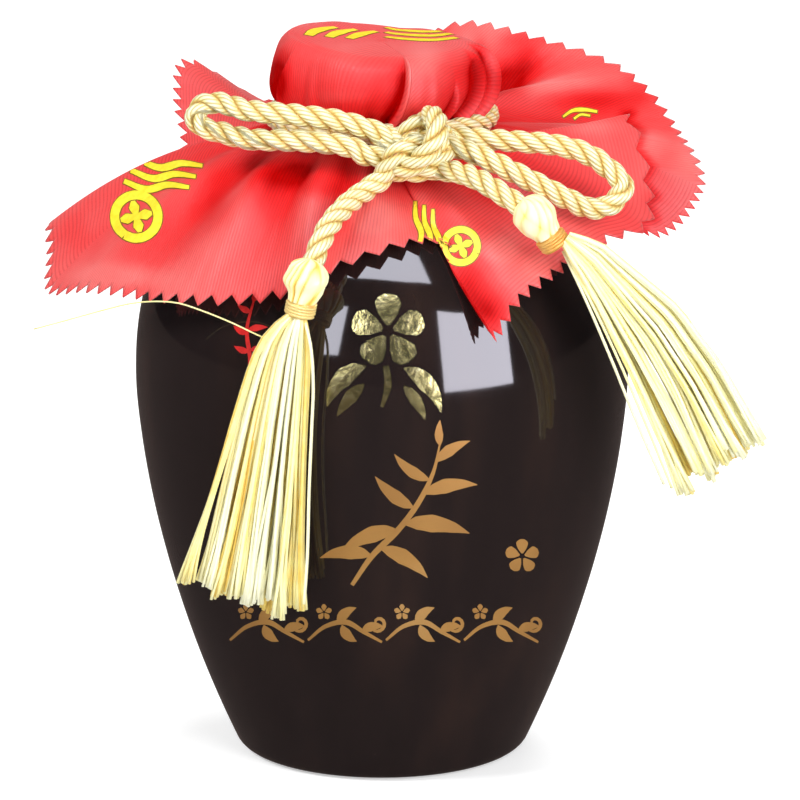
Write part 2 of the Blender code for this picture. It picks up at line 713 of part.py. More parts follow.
def strand_bundle(width):
    """A skirt of separate threads, fused at the top to the stem that the band is wound on."""
    stem_top = -TASSEL_NECK_DROP - FIT_GAP
    stem_low = stem_top - BAND_LENGTH - FIT_GAP
    root = stem_low - SKIRT_FLARE
    stem_radius = BAND_BORE_RADIUS - FIT_GAP
    bm = bmesh.new()
    bmesh.ops.create_grid(bm, x_segments=STRAND_GRID[0], y_segments=STRAND_GRID[1], size=1.0)
    bmesh.ops.triangulate(bm, faces=bm.faces)
    cells = list(bm.faces)
    for vert in bm.verts:
        x, y = vert.co.xy
        disc = Vector((x * math.sqrt(1 - y * y / 2), y * math.sqrt(1 - x * x / 2), 0.0))
        vert.co = disc * SKIRT_ROOT_RADIUS + Vector((0, 0, root))
    for radius, height in ((stem_radius, stem_low), (stem_radius, stem_top)):
        rim = [edge for edge in bm.edges if edge.is_boundary]
        grown = bmesh.ops.extrude_edge_only(bm, edges=rim)["geom"]
        for item in grown:
            if isinstance(item, bmesh.types.BMVert):
                out = item.co.xy.normalized() * radius
                item.co = (*out, height)
    bmesh.ops.holes_fill(bm, edges=[edge for edge in bm.edges if edge.is_boundary], sides=0)
    bmesh.ops.inset_individual(bm, faces=cells, thickness=STRAND_GAP / 2)
    ends = bmesh.ops.extrude_discrete_faces(bm, faces=cells)["faces"]
    stretch = Vector((width / 2, SKIRT_END_DEPTH / 2)) / SKIRT_ROOT_RADIUS
    for index, end in enumerate(ends):
        middle = end.calc_center_median().xy
        drop = SKIRT_END_DROP - SKIRT_FRINGE * (0.5 + 0.5 * math.sin(index * 2.4))
        for vert in end.verts:
            spot = middle + (vert.co.xy - middle) * STRAND_FILL_SHARE
            vert.co = (spot.x * stretch.x, spot.y * stretch.y, -drop)
    bmesh.ops.recalc_face_normals(bm, faces=bm.faces)
    return bm


def make_tassel(side, head, azimuth, lean_shares, width):
    """A head, its band and its skirt, which swing together about the head's centre."""
    out, along = around(azimuth, 1.0, 0.0), around(azimuth + 90, 1.0, 0.0)
    down = (out * lean_shares[0] + along * lean_shares[1] - Vector((0, 0, 1))).normalized()
    across = along - down * along.dot(down)
    across.normalize()
    depth = (-down).cross(across)
    frame = Matrix((across, depth, -down)).transposed().to_4x4()
    swing = pivot("tassel_" + side + "_pivot", Matrix.Translation(head) @ frame, COVER_PIVOT)
    turned("tassel_" + side + "_head", head_profile(), TASSEL_STEPS, TASSEL_YARN, swing)
    turned("tassel_" + side + "_band", band_profile(), TASSEL_STEPS, BAND_WIRE, swing, closed=True)
    mesh = bpy.data.meshes.new("tassel_" + side + "_skirt")
    bm = strand_bundle(width)
    bm.to_mesh(mesh)
    bm.free()
    place(bpy.data.objects.new(mesh.name, mesh), TASSEL_YARN, swing)


make_tassel("left", LEFT_HEAD, LEFT_HEAD_AZIMUTH, LEFT_LEAN_SHARES, LEFT_SKIRT_WIDTH)
make_tassel("right", RIGHT_HEAD, RIGHT_HEAD_AZIMUTH, RIGHT_LEAN_SHARES, RIGHT_SKIRT_WIDTH)
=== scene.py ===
"""Looks of the ceramic wine jar: dark glaze, satin cover, three-strand cord and tassels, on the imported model.

Lengths are in metres and angles in degrees, unless said otherwise. Pixels are those of the photograph.
"""

import math

import bmesh
import bpy
import numpy as np
from mathutils import Matrix, Vector
from mathutils.bvhtree import BVHTree


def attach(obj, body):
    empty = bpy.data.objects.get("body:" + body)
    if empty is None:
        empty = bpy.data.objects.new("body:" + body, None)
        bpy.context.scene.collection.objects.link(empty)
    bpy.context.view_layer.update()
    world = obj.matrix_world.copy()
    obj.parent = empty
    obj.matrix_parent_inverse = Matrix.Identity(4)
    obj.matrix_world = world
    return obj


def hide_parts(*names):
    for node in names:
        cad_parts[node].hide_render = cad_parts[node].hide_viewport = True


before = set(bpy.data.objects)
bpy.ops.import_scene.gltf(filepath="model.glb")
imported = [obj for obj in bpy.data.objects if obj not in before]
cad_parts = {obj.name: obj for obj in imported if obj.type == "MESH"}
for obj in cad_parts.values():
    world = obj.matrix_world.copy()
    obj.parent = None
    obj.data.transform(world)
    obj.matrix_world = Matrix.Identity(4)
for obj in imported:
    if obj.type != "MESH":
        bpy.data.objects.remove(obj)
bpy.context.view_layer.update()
scene = bpy.context.scene
RNG = np.random.default_rng(7)

# Camera: the photograph's place and angle

CAMERA_PLACE = Vector((0.0045, -1.45, 0.44))
CAMERA_AIM = Vector((0.0045, 0.0, 0.0884))
PIXEL = 0.00025
FRAME_SIDE = 800
MIDDLE = FRAME_SIDE / 2
FOCAL = (CAMERA_AIM - CAMERA_PLACE).length / PIXEL
FORWARD = (CAMERA_AIM - CAMERA_PLACE).normalized()
RIGHT = Vector((1.0, 0.0, 0.0))
UP = RIGHT.cross(FORWARD)


def placed(name, data, place=(0, 0, 0), aim=None):
    """An object of this data at a place, turned to look at its aim."""
    made = bpy.data.objects.new(name, data)
    scene.collection.objects.link(made)
    made.location = place
    if aim is not None:
        made.rotation_euler = (Vector(aim) - Vector(place)).to_track_quat("-Z", "Y").to_euler()
    return made


lens = bpy.data.cameras.new("camera")
lens.sensor_width = 36.0
lens.lens = FOCAL / FRAME_SIDE * lens.sensor_width
lens.clip_start, lens.clip_end = 0.05, 50.0
scene.camera = placed("camera", lens, CAMERA_PLACE, CAMERA_AIM)


def ray(px, py):
    """The direction in which the camera sees a pixel."""
    return (FORWARD + RIGHT * ((px - MIDDLE) / FOCAL) - UP * ((py - MIDDLE) / FOCAL)).normalized()


def seen(*rows):
    """The places that show at pixels and lie at a Y, from rows of (px, py, Y)."""
    return [CAMERA_PLACE + ray(px, py) * ((y - CAMERA_PLACE.y) / ray(px, py).y) for px, py, y in rows]


def pixels_of(places):
    """The pixels at which places show."""
    away = places - np.array(CAMERA_PLACE)
    far = away @ np.array(FORWARD) / FOCAL
    return MIDDLE + away @ np.array(RIGHT) / far, MIDDLE - away @ np.array(UP) / far


# Sizes and routes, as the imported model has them

BELLY_RADIUS = 0.0614
BELLY_HEIGHT = 0.096
SHOULDER_RISE = 0.058
SHOULDER_POWER = 2.4
TIE_HEIGHT = 0.161
CROWN_HEIGHT = 0.179
CORD = 0.0055
RING = 0.02635
KNOT = Vector((0.005906, -0.034194, 0.1604))
LEFT_HEAD = Vector((-0.017776, -0.063665, 0.1335))
RIGHT_HEAD = Vector((0.036604, -0.057236, 0.1474))
CLOTH_HALF = 0.085
# The loops from the knot, in cord diameters, and the tails, in shares of the way to their heads
LEFT_LOOP = (
    (-1.62, -0.09, 0.66), (-2.31, -0.15, 0.89), (-3.05, -0.15, 1.07), (-4.91, 0.13, 1.27),
    (-7.11, 0.76, 1.38), (-8.31, 1.31, 1.58), (-8.91, 1.47, 1.47), (-9.31, 1.44, 0.98),
    (-8.91, 1.25, 0.47), (-8.31, 1, 0.36), (-7.11, 0.4, 0.17), (-4.91, -0.33, 0.2),
    (-3.05, -0.75, 0.12), (-2.31, -0.75, -0.04), (-1.93, -0.68, -0.31),
)
RIGHT_LOOP = (
    (1.98, 0.45, 0.24), (3.35, 0.13, 0.18), (5.09, -0.33, 0.15), (6.58, -0.51, 0.04),
    (7.98, -0.6, -0.36), (8.98, -0.6, -1.07), (9.55, -0.69, -1.76), (8.98, -0.96, -2.53),
    (8.05, -1.33, -2.62), (7.13, -1.69, -2.16), (6.02, -1.87, -1.56), (4.91, -1.87, -1),
    (3.64, -1.51, -0.42), (2.44, -0.91, -0.05), (1.93, -0.67, 0.05),
)
LEFT_TAIL = (
    (0.26, 0.23, 0.28), (0.44, 0.34, 0.37), (0.64, 0.57, 0.47), (0.8, 0.78, 0.61), (0.89, 0.91, 0.77),
)
RIGHT_TAIL = (
    (0.24, 0.25, 0.4), (0.41, 0.48, 0.37), (0.59, 0.72, 0.45), (0.76, 0.88, 0.65),
)


def run_of(path):
    """How far along a path each of its points lies."""
    return np.concatenate([[0.0], np.cumsum(np.linalg.norm(np.diff(path, axis=0), axis=1))])


def through(points, step):
    """Points a step apart on a smooth curve through three or more points."""
    p = np.array([list(q) for q in points], float)
    t = run_of(p)
    slope = np.gradient(p, t, axis=0)
    fine = np.linspace(0.0, t[-1], max(8, int(t[-1] / step * 4)))
    at = np.clip(np.searchsorted(t, fine, side="right") - 1, 0, len(p) - 2)
    span = (t[at + 1] - t[at])[:, None]
    u = (fine - t[at])[:, None] / span
    curve = p[at] * (1 - 3 * u**2 + 2 * u**3) + p[at + 1] * (3 * u**2 - 2 * u**3)
    curve = curve + span * (slope[at] * (u - 2 * u**2 + u**3) + slope[at + 1] * (u**3 - u**2))
    run = run_of(curve)
    even = np.linspace(0.0, run[-1], max(2, int(round(run[-1] / step)) + 1))
    return np.stack([np.interp(even, run, curve[:, i]) for i in range(p.shape[1])], axis=1)


def frames(path):
    """Two side directions along a path, turned as little as possible."""
    tangent = np.gradient(path, axis=0)
    tangent /= np.linalg.norm(tangent, axis=1)[:, None]
    side = np.zeros_like(path)
    start = np.cross(tangent[0], [0.0, 0.0, 1.0])
    if np.linalg.norm(start) < 1e-3:
        start = np.cross(tangent[0], [0.0, 1.0, 0.0])
    side[0] = start / np.linalg.norm(start)
    for i in range(1, len(path)):
        moved = side[i - 1] - tangent[i] * np.dot(side[i - 1], tangent[i])
        side[i] = moved / np.linalg.norm(moved)
    return side, np.cross(tangent, side)


def around(centre, radius, angle):
    """The place on a circle at an angle in radians."""
    return centre[0] + radius * math.cos(angle), centre[1] + radius * math.sin(angle)


# Meshes


def walls(first, rows, count, inward=False):
    """Quads between neighbouring rings of points."""
    quads = []
    for a in range(first, first + (rows - 1) * count, count):
        b = a + count
        for j in range(count):
            k = (j + 1) % count
            quads.append((a + j, b + j, b + k, a + k) if inward else (a + j, a + k, b + k, b + j))
    return quads


def piece(name, verts, faces, finish, body, slot, node=None, uv=None, clean=None, **values):
    """Makes a piece of points and faces, with its values at each point, for the CAD node that it replaces."""
    mesh = bpy.data.meshes.new(name)
    mesh.from_pydata(verts, [], faces)
    if clean:
        bm = bmesh.new()
        bm.from_mesh(mesh)
        clean(bm)
        bm.to_mesh(mesh)
        bm.free()
    if uv is not None:
        index = np.zeros(len(mesh.loops), np.int32)
        mesh.loops.foreach_get("vertex_index", index)
        mesh.uv_layers.new(name="UVMap").data.foreach_set("uv", np.asarray(uv, np.float32)[index].ravel())
    for key, value in values.items():
        mesh.attributes.new(key, "FLOAT", "POINT").data.foreach_set("value", np.asarray(value, np.float32))
    mesh.shade_smooth()
    mesh.materials.append(finish)
    made = placed(name, mesh)
    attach(made, body)
    if node:
        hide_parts(node)
    return made


class Bundle:
    """Many tubes in one mesh, with a place on the yarn (uv), a tone and a groove value at each point."""

    def __init__(self):
        self.verts, self.faces, self.uv, self.tone, self.groove = [], [], [], [], []
        self.count = 0

    def tube(self, path, radius, sides, tone=0.5, core=None, core_radius=1.0):
        """Adds a tube. Its groove value is the distance from the core of its rope, in radii of the rope."""
        path = np.asarray(path, float)
        side, lift = frames(path)
        angle = np.linspace(0.0, math.tau, sides, endpoint=False)[:, None]
        ring = np.cos(angle) * side[:, None, :] + np.sin(angle) * lift[:, None, :]
        verts = path[:, None, :] + ring * radius
        turn, run = np.broadcast_arrays((np.arange(sides) / sides)[None, :], (run_of(path) * 1000)[:, None])
        groove = np.ones(turn.shape)
        if core is not None:
            groove = np.linalg.norm(verts - core[:, None, :], axis=2) / core_radius
        first, last = self.count, self.count + (len(path) - 1) * sides
        self.faces += walls(first, len(path), sides)
        self.faces += [tuple(range(first + sides - 1, first - 1, -1)), tuple(range(last, last + sides))]
        self.verts.append(verts.reshape(-1, 3))
        self.uv.append(np.stack([turn, run], axis=-1).reshape(-1, 2))
        self.groove.append(groove.ravel())
        self.tone.append(np.full(turn.size, tone))
        self.count += turn.size

    def make(self, name, finish, body, slot, node):
        verts, uv, tone, groove = map(np.concatenate, (self.verts, self.uv, self.tone, self.groove))
        return piece(name, verts.tolist(), self.faces, finish, body, slot, node, uv, tone=tone, groove=groove)


# Finishes


class Graph:
    """A short way to build the nodes of a material or of the world."""

    def __init__(self, owner):
        owner = bpy.data.materials.new(owner) if isinstance(owner, str) else owner
        owner.use_nodes = True
        self.owner, self.tree, self.nodes = owner, owner.node_tree, owner.node_tree.nodes

    def feed(self, socket, value):
        """Gives a socket a number, a vector, a colour or another node's output."""
        if isinstance(value, bpy.types.NodeSocket):
            self.tree.links.new(value, socket)
        else:
            socket.default_value = (*value, 1.0) if socket.type == "RGBA" else value

    def node(self, kind, inputs=(), output=0, **settings):
        made = self.nodes.new("ShaderNode" + kind)
        for key, value in settings.items():
            setattr(made, key, value)
        for key, value in dict(inputs).items():
            self.feed(made.inputs[key], value)
        return made.outputs[output]

    def done(self, **values):
        """Sets the shader's sockets and returns the material."""
        for key, value in values.items():
            self.feed(self.nodes["Principled BSDF"].inputs[key.replace("_", " ")], value)
        return self.owner

    def uv(self):
        return self.node("UVMap")

    def place(self):
        return self.node("TexCoord", output="Object")

    def value(self, name):
        return self.node("Attribute", output="Fac", attribute_name=name)

    def math(self, kind, *inputs, clamp=False):
        return self.node("Math", enumerate(inputs), operation=kind, use_clamp=clamp)

    def times(self, value, factor, more=0.0, clamp=False):
        return self.math("MULTIPLY_ADD", value, factor, more, clamp=clamp)

    def waves(self, vector, direction, phase=0.0):
        """A smooth wave from 0 to 1 across a direction whose length is the count of waves in a unit."""
        along = self.node("VectorMath", {0: vector, 1: direction}, "Value", operation="DOT_PRODUCT")
        return self.times(self.math("SINE", self.times(along, math.tau, phase)), 0.5, 0.5)

    def noise(self, vector, scale, detail=3.0, rough=0.55, stretch=None):
        if stretch:
            vector = self.node("Mapping", {"Vector": vector, "Scale": stretch})
        inputs = {"Vector": vector, "Scale": scale, "Detail": detail, "Roughness": rough}
        return self.node("TexNoise", inputs, "Fac")

    def ramp(self, value, *stops):
        node = self.nodes.new("ShaderNodeValToRGB")
        held = node.color_ramp.elements
        while len(held) < len(stops):
            held.new(0.5)
        for element, (where, colour) in zip(held, stops):
            element.position = where
            element.color = (*colour, 1.0)
        self.feed(node.inputs[0], value)
        return node.outputs[0]

    def mix(self, share, a, b, kind="MIX"):
        return self.node("Mix", {0: share, 6: a, 7: b}, 2, data_type="RGBA", blend_type=kind)

    def bump(self, height, strength, distance):
        return self.node("Bump", {"Strength": strength, "Distance": distance, "Height": height})

    def mirrored_or_seen(self):
        """1 for rays from the camera and for those that gloss or glass sends on, else 0."""
        rays = self.nodes.new("ShaderNodeLightPath").outputs
        share = self.math("MAXIMUM", rays["Is Camera Ray"], rays["Is Glossy Ray"])
        return self.math("MAXIMUM", share, rays["Is Transmission Ray"])


def satin():
    """Red ribbed satin: fine ribs along one pair of the cloth's sides, slubs and a soft pink sheen. The tone
    value paints shade in deep red and highlights in pink, and the sheen and gloss rise with it.
    """
    g = Graph("red_satin")
    uv = g.uv()
    ribs = g.waves(uv, (-1.16, 0.541, 0.0), g.math("MULTIPLY", g.noise(uv, 0.05, 2.0), 1.5))
    grain = g.noise(uv, 1.4, 2.0)
    # The tone value carries the cloth's painted shade and highlights, plus random mottling; the red runs from
    # deep red in painted shade to pink in painted highlight.
    tone = g.math("ADD", g.value("tone"), g.times(g.noise(uv, 0.040, 3.0), 0.36, -0.18))
    red = g.ramp(tone, (0.0, (0.40, 0.001, 0.001)), (0.25, (0.64, 0.004, 0.005)), (0.5, (0.76, 0.012, 0.013)),
                 (0.75, (0.81, 0.050, 0.050)), (1.0, (0.86, 0.150, 0.140)))
    weave = g.ramp(ribs, (0.0, (0.66, 0.46, 0.46)), (0.5, (0.96, 0.92, 0.92)), (1.0, (1.0, 1.0, 1.0)))
    share = g.math("MULTIPLY", g.times(grain, -0.5, 1.1, clamp=True), g.value("weave"))
    # The middle values stay on the sockets for an export that drops the links that follow
    g.done(Sheen_Weight=0.22, Specular_IOR_Level=0.30)
    return g.done(
        Base_Color=g.mix(share, red, weave, "MULTIPLY"),
        Normal=g.bump(g.math("ADD", ribs, g.math("MULTIPLY", grain, 1.3)), 0.40, 0.00010),
        Roughness=g.times(ribs, -0.06, 0.58), Sheen_Roughness=0.42, Sheen_Tint=(1.0, 0.62, 0.60),
        Sheen_Weight=g.times(tone, 0.44, -0.03, clamp=True),
        Specular_IOR_Level=g.times(tone, 0.48, 0.02, clamp=True))


def cord_yarn():
    """Twisted rayon, pale gold with fine plies: painted shade in deep gold down in the grooves between the
    strands, and a painted highlight that lightens their crowns.
    """
    g = Graph("pale_gold_cord")
    uv = g.uv()
    plies = g.waves(uv, (8.0, 0.50, 0.0))
    hairs = g.noise(uv, 9.0, 3.0, stretch=(3.0, 0.22, 1.0))
    # Painted shade and highlight: the colour runs by distance from the rope's core, deep gold in the grooves to
    # near white on the crowns.
    base = g.ramp(g.times(g.value("groove"), 2.9, -1.95, clamp=True), (0.0, (0.30, 0.09, 0.004)),
                  (0.35, (0.72, 0.38, 0.040)), (0.62, (0.97, 0.84, 0.34)), (1.0, (1.0, 1.0, 0.74)))
    lines = g.math("MULTIPLY", g.math("POWER", g.math("SUBTRACT", 1.0, plies), 2.8), 0.92)
    base = g.mix(lines, base, (0.54, 0.38, 0.050))
    base = g.mix(g.math("MULTIPLY", hairs, 0.15), base, (1.0, 0.98, 0.66))
    patch = g.times(g.noise(g.place(), 110.0, 2.0), 0.9, -0.46, clamp=True)
    return g.done(
        Base_Color=g.mix(patch, base, (0.84, 0.50, 0.08)), Roughness=g.times(plies, -0.14, 0.42),
        Normal=g.bump(g.math("ADD", plies, g.math("MULTIPLY", hairs, 0.5)), 0.85, 0.00026),
        Specular_IOR_Level=0.65, Sheen_Weight=0.12, Sheen_Tint=(1.0, 0.92, 0.70))


def tassel_yarn():
    """Loose rayon threads, each of its own tone from gold to cream; the tone also carries painted shade, amber
    on the skirts' back threads and in the heads' folds.
    """
    g = Graph("pale_gold_yarn")
    streak = g.noise(g.uv(), 1.0, 3.0, stretch=(1.0, 0.25, 1.0))
    base = g.ramp(g.times(streak, 0.35, g.math("SUBTRACT", g.value("tone"), 0.17)),
                  (0.0, (0.40, 0.17, 0.01)), (0.10, (0.90, 0.52, 0.06)), (0.27, (1.0, 0.78, 0.20)),
                  (0.5, (1.0, 0.93, 0.46)), (1.0, (1.0, 0.99, 0.74)))
    return g.done(Base_Color=base, Normal=g.bump(streak, 0.3, 0.0001), Roughness=g.times(streak, -0.15, 0.50),
                  Specular_IOR_Level=0.5, Sheen_Weight=0.12, Sheen_Tint=(1.0, 0.92, 0.62))


def wire():
    """Wound metallic thread, from orange gold to pale gold by its tone."""
    g = Graph("gold_wire")
    wound = g.waves(g.uv(), (0.0, 3.4, 0.0))
    deep = g.ramp(wound, (0.0, (0.60, 0.20, 0.015)), (1.0, (0.98, 0.56, 0.12)))
    pale = g.ramp(wound, (0.0, (0.80, 0.52, 0.10)), (1.0, (1.0, 0.93, 0.48)))
    share = g.times(g.noise(g.place(), 300.0, 3.0), 1.1, g.times(g.value("tone"), 1.3, -0.95), clamp=True)
    return g.done(Base_Color=g.mix(share, deep, pale), Normal=g.bump(wound, 0.4, 0.0001),
                  Roughness=g.times(wound, -0.1, 0.40), Metallic=0.20, Specular_IOR_Level=0.5)


def glaze():
    """Glossy black-brown stoneware glaze, browner where it runs thin, with faint specks and waviness."""
    g = Graph("dark_glaze")
    place = g.place()
    runs = g.noise(place, 22.0, 4.0, stretch=(3.0, 3.0, 0.35))
    specks = g.noise(place, 900.0, 2.0)
    base = g.ramp(runs, (0.0, (0.0085, 0.0060, 0.0062)), (0.5, (0.0150, 0.0100, 0.0098)),
                  (0.72, (0.0240, 0.0140, 0.0120)), (1.0, (0.0330, 0.0175, 0.0130)))
    wavy = g.math("ADD", g.noise(place, 26.0, 2.0), g.math("MULTIPLY", specks, 0.01))
    return g.done(Base_Color=g.mix(g.math("GREATER_THAN", specks, 0.80), base, (0.10, 0.075, 0.06)),
                  Normal=g.bump(wavy, 0.10, 0.0006), Roughness=g.times(runs, 0.05, 0.035),
                  Specular_IOR_Level=0.58)


def gilt():
    """Matt gold print, darker and paler in broad patches, with fine grain."""
    g = Graph("gilt_print")
    place = g.place()
    grain = g.noise(place, 1500.0, 2.0)
    base = g.ramp(g.noise(place, 30.0, 2.0), (0.25, (0.40, 0.195, 0.055)), (0.55, (0.58, 0.305, 0.085)),
                  (0.8, (0.72, 0.43, 0.16)))
    return g.done(Base_Color=g.mix(g.math("MULTIPLY", grain, 0.25), base, (0.45, 0.22, 0.06)),
                  Normal=g.bump(grain, 0.15, 0.00005), Roughness=g.times(grain, 0.2, 0.30), Metallic=0.45)


def foil():
    """Crinkled gold foil that mirrors its surroundings."""
    g = Graph("gold_foil")
    place = g.place()
    crinkle = g.noise(place, 420.0, 4.0, 0.65)
    folds = g.math("ADD", crinkle, g.math("MULTIPLY", g.noise(place, 60.0, 2.0), 0.6))
    base = g.ramp(crinkle, (0.3, (0.46, 0.42, 0.17)), (0.55, (0.72, 0.64, 0.28)), (0.8, (0.95, 0.88, 0.50)))
    return g.done(Base_Color=base, Normal=g.bump(folds, 0.65, 0.00022), Roughness=g.times(crinkle, 0.2, 0.13),
                  Metallic=1.0)


def ink(name, dark, light):
    """Grainy printing ink."""
    g = Graph(name)
    grain = g.noise(g.place(), 700.0, 3.0)
    return g.done(Base_Color=g.ramp(grain, (0.3, dark), (0.7, light)), Normal=g.bump(grain, 0.2, 0.00008),
                  Roughness=g.times(grain, 0.2, 0.35), Specular_IOR_Level=0.4)


def wood():
    """Turned wood with growth rings and pores."""
    g = Graph("turned_wood")
    place = g.place()
    rings = g.noise(place, 40.0, 4.0, stretch=(6.0, 1.0, 1.0))
    pores = g.noise(place, 600.0, 2.0, stretch=(4.0, 0.4, 1.0))
    base = g.ramp(rings, (0.3, (0.36, 0.20, 0.09)), (0.5, (0.56, 0.37, 0.19)), (0.7, (0.68, 0.48, 0.28)))
    return g.done(Base_Color=g.mix(g.math("MULTIPLY", pores, 0.35), base, (0.30, 0.17, 0.08)),
                  Normal=g.bump(g.math("ADD", rings, pores), 0.2, 0.0002),
                  Roughness=g.times(pores, 0.2, 0.45))


def silicone():
    """Cloudy white silicone."""
    g = Graph("silicone")
    place = g.place()
    cloudy = g.noise(place, 80.0, 3.0)
    return g.done(Base_Color=g.ramp(cloudy, (0.3, (0.74, 0.73, 0.69)), (0.7, (0.86, 0.85, 0.81))),
                  Normal=g.bump(g.noise(place, 500.0, 2.0), 0.08, 0.0001),
                  Roughness=g.times(cloudy, 0.1, 0.40), Subsurface_Weight=0.15,
                  Subsurface_Radius=(0.004, 0.004, 0.003))


SATIN, CORD_YARN, TASSEL_YARN, WIRE = satin(), cord_yarn(), tassel_yarn(), wire()
GLAZE, GILT, FOIL = glaze(), gilt(), foil()
INK = ink("yellow_print", (0.88, 0.66, 0.02), (1.0, 0.83, 0.05))
INK_EDGE = ink("olive_print_edge", (0.16, 0.10, 0.01), (0.26, 0.17, 0.02))
RED_INK = ink("red_print", (0.55, 0.010, 0.010), (0.75, 0.020, 0.015))

# Cord: three strands laid right-handed

STRAND_OFFSET = 0.00128
STRAND_RADIUS = 0.00150
LAY = 0.0146
ROPE_STEP = 0.0007
STRAND_SIDES = 12
INTO_HEAD = 0.0042


def by_knot(*rows, scale=1.0):
    """Places counted from the middle of the knot."""
    return [KNOT + Vector(row) * scale for row in rows]


def lay_rope(bundle, points, phase, radius=CORD / 2):
    """Lays three strands about a route, and returns the route."""
    path = through(points, ROPE_STEP)
    side, lift = frames(path)
    size = radius / (CORD / 2)
    for strand in range(3):
        angle = run_of(path) / LAY * math.tau + phase + strand * math.tau / 3
        centre = path + (np.cos(angle)[:, None] * side + np.sin(angle)[:, None] * lift) * STRAND_OFFSET * size
        bundle.tube(centre, STRAND_RADIUS * size, STRAND_SIDES, core=path, core_radius=radius)
    return path


def rope(node, points, phase=0.0):
    bundle = Bundle()
    path = lay_rope(bundle, points, phase)
    return bundle.make(node + "_rope", CORD_YARN, "cover", "pale_gold_cord", node), path


def tail(node, start, table, head, phase):
    """An end of the cord, from the knot into the head of its tassel."""
    middle = by_knot(*table, scale=head - KNOT)
    return rope(node, start + middle + [head + (middle[-1] - head).normalized() * INTO_HEAD], phase)


RING_ENDS = (283.0, 276.6 + 360.0)
rope("neck_cord", [(*around((0, 0), RING, a), TIE_HEIGHT) for a in np.radians(np.linspace(*RING_ENDS, 120))])
left_loop = rope("bow_loop_left", by_knot((0.006, 0.001, -0.001), (-0.002, 0.0002, 0.0008))
                 + by_knot(*LEFT_LOOP, scale=CORD)
                 + by_knot((-0.0060, -0.0028, -0.0030), (-0.0005, -0.0020, -0.0042)), 0.6)
right_loop = rope("bow_loop_right", by_knot((-0.003, 0.002, 0.001), (0.0045, 0.0026, 0.0012))
                  + by_knot(*RIGHT_LOOP, scale=CORD)
                  + by_knot((0.0050, -0.0028, 0.0012), (-0.001, -0.0015, 0.0005)), 1.7)
left_tail = tail("cord_tail_left", seen((430, 144, -0.0365), (415, 147, -0.0400), (399, 152, -0.0425)),
                 LEFT_TAIL, LEFT_HEAD, 0.2)
right_tail = tail("cord_tail_right", by_knot((-0.0030, -0.0020, -0.0030), (0.0020, -0.0042, -0.0046)),
                  RIGHT_TAIL, RIGHT_HEAD, 1.1)

# Turns of the knot: the one that crosses the front, the one under it and the one behind, with their phases
KNOT_TURNS = (
    (2.4, (424, 124, -0.03), (431, 116, -0.036), (436.5, 122, -0.0415), (437, 136, -0.045),
     (429, 151, -0.046), (416, 163, -0.045), (402, 170, -0.042), (393, 171, -0.037)),
    (0.3, (446, 134, -0.033), (446, 150, -0.0385), (437, 164, -0.0405), (419, 171, -0.0405),
     (402, 169, -0.038), (392, 160, -0.033)),
    (1.3, (404, 150, -0.032), (407, 134, -0.035), (415, 125, -0.035), (424, 128, -0.032),
     (430, 140, -0.032)),
)
knot = Bundle()
for phase, *turn in KNOT_TURNS:
    lay_rope(knot, seen(*turn), phase)
lay_rope(knot, by_knot((-0.0075, 0.0015, 0.0), (0, 0, 0), (0.0078, 0.0015, -0.0005)), 0.9, radius=0.0036)
knot.make("bow_knot_rope", CORD_YARN, "cover", "pale_gold_cord", "bow_knot")

# Jar

WALL = 0.005
NECK_ROOT = 0.0237
JAR_STEPS = 180
IN_FRONT = -0.075
SEARCH_STEP = 0.002
SLOPE_REACH = 0.0004
SIDE = ((0.0402, 0.0100), (0.0443, 0.0200), (0.0496, 0.0350), (0.0540, 0.0500), (0.0575, 0.0650),
        (0.0600, 0.0800), (BELLY_RADIUS, BELLY_HEIGHT))


def shoulder(radius, widen=0.0):
    share = min(radius / (BELLY_RADIUS + widen), 1.0)
    return BELLY_HEIGHT + (SHOULDER_RISE + widen) * (1 - share**SHOULDER_POWER) ** (1 / SHOULDER_POWER)


def dome(radius, rise, root, count):
    """The shoulder's curve from the belly to the neck's root, as (radius, height)."""
    root = math.asin((root / radius) ** (SHOULDER_POWER / 2))
    return [(radius * math.sin(angle) ** (2 / SHOULDER_POWER),
             BELLY_HEIGHT + rise * max(math.cos(angle), 0.0) ** (2 / SHOULDER_POWER))
            for angle in np.linspace(math.pi / 2, root, count)]


def arc(centre, radius, start, end, count):
    return [around(centre, radius, a) for a in np.radians(np.linspace(start, end, count))]


def outer_side():
    """The jar's outside from the foot's edge to the root of the neck, as (radius, height)."""
    foot = arc((0.0325, 0.0050), 0.0050, -90, -20, 8)
    side = through(foot[-2:] + list(SIDE) + [(0.06135, 0.1000)], 0.0010)
    side = [tuple(p) for p in side if p[0] > foot[-1][0] and p[1] < BELLY_HEIGHT - 0.0003]
    return foot + side + dome(BELLY_RADIUS, SHOULDER_RISE, NECK_ROOT, 60)


OUTER = outer_side()
OUTER_R, OUTER_Z = np.array(OUTER).T


def jar_radius(height):
    return float(np.interp(height, OUTER_Z, OUTER_R))


def jar_profile():
    """The jar's whole section, up the outside and down the inside, as (radius, height)."""
    fillet = arc((NECK_ROOT, shoulder(NECK_ROOT) + 0.003), 0.003, 240, 180, 6)
    neck = [(0.0207, 0.1560), (0.0207, 0.1638), (0.0209, 0.1644)]
    lip = arc((0.0208, 0.1659), 0.0011, -50, 90, 10) + arc((0.0161, 0.1669), 0.0011, 90, 180, 6)
    bore = [(0.0150, 0.1600), (0.0150, 0.1490)]
    inner_top = dome(BELLY_RADIUS - WALL, SHOULDER_RISE - WALL, 0.0152, 30)[::-1]
    inner = [(r - WALL, z) for r, z in SIDE[-2::-1]] + [(0.0300, 0.0062), (0.0100, 0.0060)]
    inner = [tuple(p) for p in through(inner_top[-1:] + inner, 0.002)]
    return [(0.0, 0.0)] + OUTER + fillet + neck + lip + bore + inner_top + inner + [(0.0, 0.0060)]


